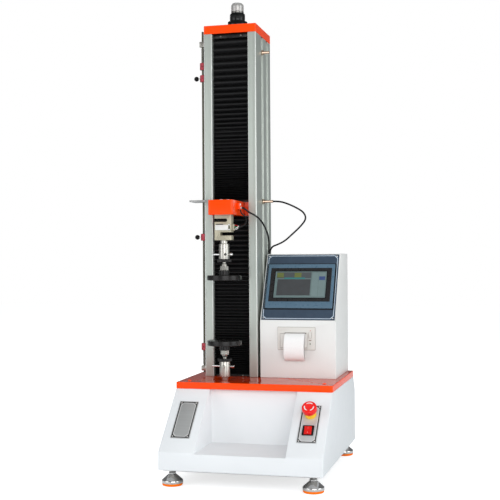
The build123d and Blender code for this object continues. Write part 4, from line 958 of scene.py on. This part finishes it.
def makeLamp():
    place = Matrix.Translation(lampSizes["place"])
    turned = {part: lathe("lamp" + part.capitalize(), lampSizes[part], look, place)
              for part, look in lampSizes["looks"].items()}
    rib = blockMesh("lampRib", *lampSizes["rib"], "glossBlack", width=0.0002)
    ribs = around("lampRibs", rib, lampSizes["ribs"], lampSizes["ribRadius"], "glossBlack", place)
    housing = [turned["body"], ribs, turned["collar"], turned["ring"], turned["seat"]]
    inPlaceOf(joined("lampHousing", housing), "lamp_body")
    inPlaceOf(turned["dome"], "lamp_dome")
    addTo(turned["reflector"], "lamp_dome", "steel")


makeLamp()


# Levelling feet
footSizes = {
    "places": {"foot_front_left": (-0.187, -0.246), "foot_front_right": (0.187, -0.246),
               "foot_rear_left": (-0.187, 0.246), "foot_rear_right": (0.187, 0.246)},
    "ring": [(0, 0), (0.0236, 0), (0.0254, 0.0006), (0.0265, 0.0020), (0.0268, 0.0034),
             (0.0266, 0.0052), (0.0260, 0.0063), (0, 0.0063)],
    "bell": [(0, 0.0065), (0.0266, 0.0065), (0.0274, 0.0070), (0.0276, 0.0080), (0.0276, 0.0134),
             (0.0273, 0.0144), (0.0262, 0.0154), (0.0234, 0.0179), (0.0198, 0.0210), (0.0160, 0.0243),
             (0.0126, 0.0270), (0.0104, 0.0288), (0.0090, 0.0295), (0, 0.0296)],
    "nut": (0.0104, 0.0297, 0.0048), "threadLow": 0.0345,
    "thread": {"turns": 26, "radius": 0.0053, "height": 0.040, "wire": 0.0006, "sides": 4, "steps": 20},
    "stud": [(0, 0.0290), (0.0054, 0.0290), (0.0054, 0.0752), (0.0046, 0.0760), (0, 0.0760)],
}


def makeFeet():
    radius, low, height = footSizes["nut"]
    for node, (x, y) in footSizes["places"].items():
        place = Matrix.Translation((x, y, 0))
        inPlaceOf(joined(node + "Dressed", [
            lathe(node + "Ring", footSizes["ring"], "orangeRubber", place),
            lathe(node + "Bell", footSizes["bell"], "chrome", place, sides=96),
            outlinePlate(node + "Nut", circle(radius, 6), height, "chrome",
                         Matrix.Translation((x, y, low)), width=0.0005),
            lathe(node + "Stud", footSizes["stud"], "zinc", place, sides=32),
            helix(node + "Thread", place=(x, y, footSizes["threadLow"]), look="zinc",
                  **footSizes["thread"])]), node)


makeFeet()


# Limit rod with its springs, fixed and sliding collars
limitSizes = {
    "place": (-0.185, 0.040),
    "rod": [(0, 0.262), (0.0026, 0.262), (0.0030, 0.2624), (0.0030, 1.2466), (0.0026, 1.247), (0, 1.247)],
    "fixedCollars": [0.326, 1.136],
    "springs": [(0.2861, 0.0397, 13), (1.1562, 0.0414, 14)], "springRadius": 0.0042, "wire": 0.0007,
    "bore": 0.0031, "radius": 0.0084, "height": 0.020, "cut": 0.0006,
    "grubFront": 0.0083,
    "grub": [(0, 0), (0.0016, 0), (0.0016, 0.0003), (0.0009, 0.0003), (0.0008, 0.0001), (0, 0.0001)],
    "knobScrew": -0.1936, "knob": -0.1968,
}


def makeLimitRod():
    sizes = limitSizes
    x, y = sizes["place"]
    place = Matrix.Translation((x, y, 0))
    pieces = [lathe("limitRod", sizes["rod"], "rod", place, sides=24)]
    for number, low in enumerate(sizes["fixedCollars"]):
        profile = collarProfile(sizes["bore"], sizes["radius"], low, low + sizes["height"], sizes["cut"])
        pieces.append(lathe(f"fixedCollar{number}", profile, "redMetal", place, sides=48))
        front = facingFront((x, y - sizes["grubFront"], low + sizes["height"] / 2))
        pieces.append(lathe(f"grubScrew{number}", sizes["grub"], "black", front, sides=12))
    for number, (low, height, turns) in enumerate(sizes["springs"]):
        pieces.append(helix(f"limitSpring{number}", turns, sizes["springRadius"], height, sizes["wire"],
                            (x, y, low), "spring", steps=28))
    inPlaceOf(joined("limitRodDressed", pieces), "limit_rod")
    for node in ("upper_limit_collar", "lower_limit_collar"):
        knob = refined(node, "redMetal", 0.0005, 2)
        paint(knob, "chrome", lambda face: face.center.x < sizes["knobScrew"])
        paint(knob, "knob", lambda face: face.center.x < sizes["knob"])
        inPlaceOf(knob, node)


makeLimitRod()
print("lamp, feet and limit rod ready")


# Knurled locknuts
locknutSizes = {
    "lows": {"upper_locknut": 0.5797, "lower_locknut": 0.3043}, "place": (-0.099, -0.048),
    "height": 0.008, "radius": 0.0193, "bore": 0.0053, "cut": 0.0007, "knurls": 84,
    "ridge": ((-0.0003, -0.0003, 0.0008), (0.0003, 0.0003, 0.0072)),
}


def makeLocknuts():
    sizes = locknutSizes
    for node, low in sizes["lows"].items():
        place = Matrix.Translation((*sizes["place"], low))
        profile = collarProfile(sizes["bore"], sizes["radius"], 0, sizes["height"], sizes["cut"])
        body = lathe(node + "Body", profile, "blackSteel", place, sides=sizes["knurls"])
        ridge = blockMesh("ridge", *sizes["ridge"], "blackSteel", 0, Matrix.Rotation(math.pi / 4, 4, "Z"))
        ridges = around(node + "Ridges", ridge, sizes["knurls"], sizes["radius"], "blackSteel", place)
        inPlaceOf(joined(node + "Dressed", [body, ridges]), node)


makeLocknuts()


# Platens: bright stem, washer and nut, black hub and disc
platenStems = {"upper_platen": (0.5573, 0.640), "lower_platen": (0.230, 0.3347)}


def makePlatens():
    for node, (low, high) in platenStems.items():
        piece = refined(node, "platen", 0.0004, 1)
        paint(piece, "steel", lambda face: low < face.center.z < high)
        inPlaceOf(smoothByAngle(piece, 24), node)


makePlatens()


# Screw heads, one shape on every place
screwSizes = {
    "head": [(0, 0), (0.0024, 0), (0.0024, 0.0007), (0.0021, 0.0013), (0.0015, 0.0016), (0.0011, 0.0016),
             (0.0010, 0.0008), (0, 0.0008)],
    "plug": [(0, 0), (0.005, 0), (0.005, 0.0017), (0.0046, 0.0024), (0.0038, 0.0025), (0.0026, 0.0025),
             (0.0024, 0.0012), (0, 0.0012)],
    "plateX": (-0.188, -0.148, 0.148, 0.188), "plateS": (0.051, 0.160), "plateTop": 0.0015,
    "panelX": (-0.005, 0.193), "panelS": (0.009, 0.2025),
    "stripX": (-0.129, -0.069), "stripZ": (0.2555, 1.2295), "stripFront": 0.034,
    "rearX": (-0.191, 0, 0.191), "rearZ": (0.061, 0.177), "rearBack": 0.273,
    "plugs": ((-0.189, -0.090, 0.253), (0.189, -0.090, 0.253)),
}


def makeScrews():
    sizes = screwSizes
    head = lathe("screwHead", sizes["head"], "chrome", sides=18)
    plates = [onTilt("slope", x, s, sizes["plateTop"]) for x in sizes["plateX"] for s in sizes["plateS"]]
    strips = [facingFront((x, sizes["stripFront"], z)) for x in sizes["stripX"] for z in sizes["stripZ"]]
    plugs = [lathe("tablePlug", sizes["plug"], "orange", Matrix.Translation(place), sides=36)
             for place in sizes["plugs"]]
    inPlaceOf(joined("panelScrewsDressed", [
        screwHeads("panelScrews", head, plates), screwHeads("stripScrews", head, strips, "spring"),
        *plugs]), "panel_screws")
    faces = [onTilt("boxFront", x, s, sizes["plateTop"]) for x in sizes["panelX"] for s in sizes["panelS"]]
    addTo(screwHeads("faceScrews", head, faces), "display_panel", "steel")
    rear = [planeAt((x, sizes["rearBack"], z), (-1, 0, 0), (0, 1, 0))
            for x in sizes["rearX"] for z in sizes["rearZ"]]
    addTo(screwHeads("rearScrews", head, rear), "rear_panel", "steel")
    bpy.data.objects.remove(head)


makeScrews()
print("screws ready")


# Label plates: bare, with a dark line and a thin white one inside it
plateSizes = {
    "half": (0.026, 0.0605), "x": 0.168, "s": 0.1055, "top": 0.0015,
    "darkLine": ((0.0020, 0.0004), (0.0048, 0.0074)), "whiteInk": ((0.0054, 0.0072), (0.0063, 0.0070)),
}


def makePlateLines():
    plates = refined("label_plates", "brushed", 0.0003, 2)
    inPlaceOf(paint(plates, "switchPlate", lambda face: face.center.x > 0), "label_plates")
    for side, word in ((-1, "name"), (1, "switch")):
        place = onTilt("slope", side * plateSizes["x"], plateSizes["s"], plateSizes["top"])
        lines = [border(word + look, plateSizes["half"], *plateSizes[look], look, place)
                 for look in ("darkLine", "whiteInk")]
        addTo(joined(word + "PlateLines", lines), "label_plates")


makePlateLines()


# Emergency stop
stopSizes = {
    "x": 0.168, "s": 0.135,
    "collar": [(0.0062, -0.0098), (0.0108, -0.0098), (0.0108, 0.0015), (0.0150, 0.0015),
               (0.0150, 0.0118), (0.0143, 0.0130), (0.0130, 0.0135), (0.0085, 0.0135), (0.0078, 0.0128),
               (0.0062, 0.0128), (0.0062, -0.0098)],
    "head": [(0, -0.0048), (0.0060, -0.0048), (0.0060, 0.0197), (0.0165, 0.0196), (0.0182, 0.0201),
             (0.0192, 0.0211), (0.0195, 0.0226), (0.0195, 0.0306), (0.0193, 0.0320), (0.0187, 0.0332),
             (0.0177, 0.0340), (0.0164, 0.0344), (0.0150, 0.0345), (0.0096, 0.0345), (0.0090, 0.0343),
             (0.0086, 0.0338), (0.0040, 0.0336), (0, 0.0336)],
    "works": ((-0.015, -0.015, -0.048), (0.015, 0.015, -0.0101)),
    "arc": ((0.0106, 0.0345), (0.0133, 0.0345)), "arcs": (92, 212, 332), "sweep": 84, "arcSteps": 14,
    "arcLift": 0.00012, "arcEnd": 0.25, "arcFade": 0.25,
}


def stopArcs(place):
    # Three white arcs on the head, each thinner over the last part of its sweep
    mesh = bmesh.new()
    low, high = (Vector(pair) for pair in stopSizes["arc"])
    centre = (low + high) / 2
    steps, thin, fade = stopSizes["arcSteps"], stopSizes["arcEnd"], stopSizes["arcFade"]
    for middle in stopSizes["arcs"]:
        rows = []
        for step in range(steps + 1):
            share = step / steps
            angle = math.radians(middle + stopSizes["sweep"] * (share - 0.5))
            narrow = thin + (1 - thin) * min(1, (1 - share) / fade)
            ends = [centre + (pair - centre) * narrow for pair in (low, high)]
            rows.append([mesh.verts.new((radius * math.cos(angle), radius * math.sin(angle),
                                         height + stopSizes["arcLift"])) for radius, height in ends])
        for first, second in zip(rows, rows[1:]):
            mesh.faces.new((first[0], first[1], second[1], second[0]))
    return pieceFrom("stopArcs", mesh, "whiteInk", place)


def makeStop():
    place = onTilt("slope", stopSizes["x"], stopSizes["s"])
    collar = lathe("stopCollar", stopSizes["collar"], "yellow", place)
    works = blockMesh("stopWorks", *stopSizes["works"], "black", width=0.0008, place=place)
    inPlaceOf(joined("stopCollarDressed", [collar, works]), "estop_collar")
    head = lathe("stopHead", stopSizes["head"], "redPlastic", place, sides=96)
    inPlaceOf(joined("stopHeadDressed", [head, stopArcs(place)]), "estop_head")


makeStop()


# Rocker: the marks for on and off
rockerSizes = {
    "x": 0.168, "s": 0.084, "pivot": -0.005, "tilt": 8, "top": 0.0065, "dip": 0.0012, "half": 0.0115,
    "lift": 0.00012, "dash": [(-0.0003, 0.0046), (0.0003, 0.0046), (0.0003, 0.0074), (-0.0003, 0.0074)],
    "ring": (0.0015, 0.0010), "ringY": -0.0060,
}


def makeRockerMarks():
    sizes = rockerSizes
    pivot = Matrix.Translation((0, 0, sizes["pivot"]))
    place = (onTilt("slope", sizes["x"], sizes["s"]) @ pivot
             @ Matrix.Rotation(math.radians(sizes["tilt"]), 4, "X") @ pivot.inverted())
    mesh = bmesh.new()

    def raised(points):
        # The rocker's face dips towards its middle
        slope = sizes["dip"] / sizes["half"]
        return [mesh.verts.new((x, y, sizes["top"] - sizes["dip"] + abs(y) * slope + sizes["lift"]))
                for x, y in points]

    mesh.faces.new(raised(sizes["dash"]))
    bridge(mesh, [raised([(x, y + sizes["ringY"]) for x, y in circle(radius, 28)])
                  for radius in sizes["ring"]])
    addTo(pieceFrom("rockerMarks", mesh, "rockerInk", place), "rocker")


makeRockerMarks()
print("switches ready")


# Display: printed panel, module frame, glass and a plain screen picture
displaySizes = {
    "panelX": 0.094, "panelHalf": (0.105, 0.10275), "panelS": 0.10575, "top": 0.0015,
    "moduleX": 0.093, "moduleS": 0.107, "moduleHalf": (0.097, 0.069), "frameTop": 0.0055,
    "glassS": 0.111, "glassHalf": (0.0885, 0.0525), "active": (0.149, 0.082), "layer": 0.00015,
    "line": ((0.0036, 0.0085), (0.0052, 0.0080)), "panelWidth": 0.2, "frameWidth": 0.15,
    "gap": ((0.0042, 0.0034, 0.0028), (-0.001, -0.001, 0.002)), "bezel": (0.0004, 0.003, 0.0002),
}
screenTiles = [
    ((0, 1), (0, 1), "screenEdge", 1), ((0.03, 0.705), (0.03, 0.26), "screenDark", 2),
    ((0.05, 0.70), (0.30, 0.915), "screenGraph", 2), ((0.035, 0.165), (0.05, 0.23), "screenYellow", 3),
    ((0.375, 0.51), (0.05, 0.23), "screenYellow", 3), ((0.18, 0.585), (0.235, 0.285), "screenTeal", 3),
    ((0.725, 0.845), (0.05, 0.95), "screenPale", 2), ((0.855, 0.98), (0.05, 0.95), "screenPale", 2),
    ((0.86, 0.975), (0.19, 0.33), "screenBlue", 3),
]


def makeDisplay():
    sizes = displaySizes
    layer = sizes["layer"]
    panel = refined("display_panel", "navy", 0.0003, 1,
                    keep=lambda low, high: (high - low).x > sizes["panelWidth"])
    line = border("panelLine", sizes["panelHalf"], *sizes["line"], "paleLine",
                  onTilt("boxFront", sizes["panelX"], sizes["panelS"], sizes["top"]), layer)
    inPlaceOf(joined("displayPanelDressed", [panel, line]), "display_panel")
    rim = refined("display_panel", "frameBlue", 0.0009, 3,
                  keep=lambda low, high: sizes["frameWidth"] < (high - low).x < sizes["panelWidth"])
    x, y = sizes["moduleHalf"]
    outlines = [cutCorners((x + wider, y + taller), corner) for wider, taller, corner in sizes["gap"]]
    # Painted shade: a thin black ring round the module frame stands for the shaded gap between frame and
    # panel
    gap = flatRing("moduleGap", *outlines, layer, "black",
                   onTilt("boxFront", sizes["moduleX"], sizes["moduleS"], sizes["top"]))
    addTo(joined("displayFrame", [rim, gap]), "display_panel", "panel_navy")
    x, y = sizes["glassHalf"]
    wide, tall = sizes["active"]
    inset, outset, corner = sizes["bezel"]
    glassPlace = onTilt("boxFront", sizes["moduleX"], sizes["glassS"], sizes["frameTop"])
    tiles = [refined("touch_screen", "glass", 0.0002, 1),
             flatRing("bezelSlope", cutCorners((x - inset, y - inset), corner),
                      cutCorners((wide / 2 + outset, tall / 2 + outset), corner), layer, "bezelBlack",
                      glassPlace)]
    for number, ((left, right), (top, bottom), look, level) in enumerate(screenTiles):
        mesh = bmesh.new()
        mesh.faces.new([mesh.verts.new(((x - 0.5) * wide, (0.5 - y) * tall, layer * level)) for x, y in
                        ((left, bottom), (right, bottom), (right, top), (left, top))])
        tiles.append(pieceFrom(f"tile{number}", mesh, look, glassPlace))
    inPlaceOf(joined("touchScreenDressed", tiles), "touch_screen")


makeDisplay()


# Printer details and its paper
printerSizes = {
    "lights": [((0.1312, 0.0175, 0.3868), 0.0010, "redLight"),
               ((0.1302, 0.0175, 0.3500), 0.0017, "greenLight")],
    "middle": (0.09055, 0.020, 0.3645), "half": (0.05315, 0.0315),
    "seam": ((-0.0009, 0.0016), (0.001, 0.0014)), "gapShadeLift": 0.00015, "buttonLift": 0.00012,
    "slot": ((0.0575, 0.01738, 0.3783), (0.1185, 0.0175, 0.3807)),
    "mark": ((0.1262, 0.01738, 0.3588), (0.1336, 0.0175, 0.3606)),
    "button": (0.1297, 0.0175, 0.374), "buttonRings": (0.0048, 0.0041), "buttonReach": 0.0043,
}


def makePrinterDetails():
    sizes = printerSizes
    pieces = [lathe(f"printerLight{number}", [(0, -0.0006), (radius, -0.0006), (radius, 0.0001),
                                              (radius * 0.6, 0.0004), (0, 0.0005)],
                    look, facingFront(point), sides=20)
              for number, (point, radius, look) in enumerate(sizes["lights"])]
    # Painted shade: a thin dark line round the printer body and round its feed button, where the gaps
    # between the parts fall in shade
    pieces.append(border("printerSeam", sizes["half"], *sizes["seam"], "seam",
                         facingFront(sizes["middle"]), sizes["gapShadeLift"]))
    # A slot-shaped ring: a circle with its halves moved apart
    rings = [[(x, y + math.copysign(sizes["buttonReach"], y)) for x, y in circle(radius, 32, 0.5)]
             for radius in sizes["buttonRings"]]
    pieces.append(flatRing("buttonSeam", *rings, sizes["buttonLift"], "seam",
                           facingFront(sizes["button"])))
    pieces.append(blockMesh("printerSlot", *sizes["slot"], "slotShade"))
    pieces.append(blockMesh("printerMark", *sizes["mark"], "brownInk"))
    addTo(joined("printerLights", pieces), "printer_body")


paperSizes = {"flatAngle": 0.2, "creaseAngle": 55, "smoothAngle": 50}


def makePaper():
    # The strip keeps its creases and is rounded elsewhere
    mesh = meshOf(nodes["paper_strip"])
    bmesh.ops.remove_doubles(mesh, verts=mesh.verts, dist=mergeGap)
    bmesh.ops.dissolve_limit(mesh, angle_limit=math.radians(paperSizes["flatAngle"]), verts=mesh.verts,
                             edges=mesh.edges)
    crease = mesh.edges.layers.float.get("crease_edge") or mesh.edges.layers.float.new("crease_edge")
    for edge in mesh.edges:
        if edge.calc_face_angle(0) > math.radians(paperSizes["creaseAngle"]):
            edge[crease] = 1
    sheet = pieceFrom("paperStrip", mesh, "paper")
    smooth = sheet.modifiers.new("smooth", "SUBSURF")
    smooth.levels = smooth.render_levels = 2
    settle(sheet)
    smoothByAngle(sheet, paperSizes["smoothAngle"])
    inPlaceOf(sheet, "paper_strip")
    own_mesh(sheet)


makePrinterDetails()
makePaper()
print("display and printer ready")


# Load cell label, screws and wires
cellSizes = {
    "front": -0.061, "sunk": 0.0001, "wireRadius": 0.001, "sleeveRadius": 0.0026,
    "patches": {
        "label": ((-0.1212, 0.6690), (-0.0840, 0.6835), 0.0002, "label"),
        "strip": ((-0.1195, 0.6838), (-0.0980, 0.6862), 0.00025, "black"),
        "bar": ((-0.0826, 0.6727), (-0.0790, 0.6810), 0.0004, "darkGreen"),
    },
    "screws": ((-0.0808, 0.6700), (-0.0808, 0.6838)),
    "screw": [(0, -0.0002), (0.0022, -0.0002), (0.0022, 0.0008), (0.0017, 0.0012), (0, 0.0013)],
    "seat": [(0, -0.0002), (0.0030, -0.0002), (0.0030, 0.0002), (0, 0.0003)],
    "sleeve": [(-0.0618, -0.0484, 0.6763), (-0.0590, -0.0480, 0.6764), (-0.0555, -0.0474, 0.6767),
               (-0.0530, -0.0462, 0.6774)],
    "wires": [
        ("redWire", [(-0.0692, -0.048, 0.6812), (-0.0655, -0.0492, 0.6828), (-0.0612, -0.0500, 0.6818),
                     (-0.0575, -0.0488, 0.6782)]),
        ("greenWire", [(-0.0692, -0.0505, 0.6766), (-0.0650, -0.0530, 0.6775),
                       (-0.0610, -0.0528, 0.6765), (-0.0575, -0.0500, 0.6766)]),
        ("whiteWire", [(-0.0692, -0.048, 0.6722), (-0.0650, -0.0492, 0.6708), (-0.0608, -0.0500, 0.6722),
                       (-0.0575, -0.0488, 0.6756)]),
        ("whiteWire", [(-0.0655, -0.0520, 0.6738), (-0.0620, -0.0538, 0.6744), (-0.0588, -0.0528, 0.6768),
                       (-0.0562, -0.0502, 0.6796)]),
    ],
}


def makeCellDetails():
    front = cellSizes["front"]
    pieces = [blockMesh(name, (x0, front - thickness, z0), (x1, front + cellSizes["sunk"], z1), look,
                        width=0.00005)
              for name, ((x0, z0), (x1, z1), thickness, look) in cellSizes["patches"].items()]
    for number, (x, z) in enumerate(cellSizes["screws"]):
        place = facingFront((x, front, z))
        for part, look in (("screw", "whiteInk"), ("seat", "darkGreen")):
            pieces.append(lathe(f"{part}{number}", cellSizes[part], look, place, sides=24))
    for look, points in cellSizes["wires"]:
        pieces.append(polyTube(look, points, cellSizes["wireRadius"], look))
    addTo(joined("cellDetails", pieces), "load_cell")
    sleeve = polyTube("leadSleeve", cellSizes["sleeve"], cellSizes["sleeveRadius"], "black", sides=16)
    addTo(sleeve, "load_cell", "black_plastic")


makeCellDetails()


# The blind set-screw hole on the upper sleeve, as a disc of painted shade
holeSizes = {
    "middle": (-0.099, -0.048), "radius": 0.0145, "z": 0.6015, "turn": 28,
    "rim": [(0, 0.0001), (0.0030, 0.0001), (0.0034, 0.0003), (0.0038, 0), (0.0038, -0.0004)],
}


def makeSleeveHole():
    turn = math.radians(holeSizes["turn"])
    x, y = holeSizes["middle"]
    outward = Vector((math.sin(turn), -math.cos(turn), 0))
    place = planeAt(Vector((x, y, holeSizes["z"])) + outward * holeSizes["radius"],
                    (math.cos(turn), math.sin(turn), 0), outward)
    # Painted shade: a dark disc with a low rim stands for the shaded inside of the hole
    hole = lathe("setScrewHole", holeSizes["rim"], "darkLine", place, sides=24)
    addTo(hole, "upper_adapter", "dark_steel")


makeSleeveHole()


# Crosshead cover, with a painted highlight on the screw heads at its saddle
coverSizes = {"saddle": -0.0558}
cover = refined("crosshead_cover", "orange", 0.0006, 2)
inPlaceOf(paint(cover, "edgeBright", lambda face: face.center.x > coverSizes["saddle"]), "crosshead_cover")


# Drive: threaded screw, power supply and board
driveSizes = {
    "screw": (-0.099, 0.110), "low": 0.189, "high": 1.235, "pitch": 0.010, "core": 0.0091,
    "threadLow": 0.255, "thread": 0.976, "wire": 0.0009, "boardTop": 0.0548,
}


def makeDrive():
    sizes = driveSizes
    x, y = sizes["screw"]
    low, high, radius = sizes["low"], sizes["high"], sizes["core"]
    core = lathe("screwCore", [(0, low), (radius, low), (radius, high), (0, high)], "steel",
                 Matrix.Translation((x, y, 0)), sides=40)
    thread = helix("screwThread", sizes["thread"] / sizes["pitch"], radius, sizes["thread"], sizes["wire"],
                   (x, y, sizes["threadLow"]), "steel", steps=26)
    inPlaceOf(joined("leadScrewDressed", [core, smoothByAngle(thread, 60)]), "lead_screw")
    supply = refined("electronics", "zinc", 0.001, 2, keep=lambda low, high: high.x < 0)
    board = refined("electronics", "board", 0.0002, 1, keep=lambda low, high: low.x > 0)
    paint(board, "black", lambda face: face.center.z > sizes["boardTop"])
    inPlaceOf(joined("electronicsDressed", [supply, board]), "electronics")


makeDrive()
print("details ready")
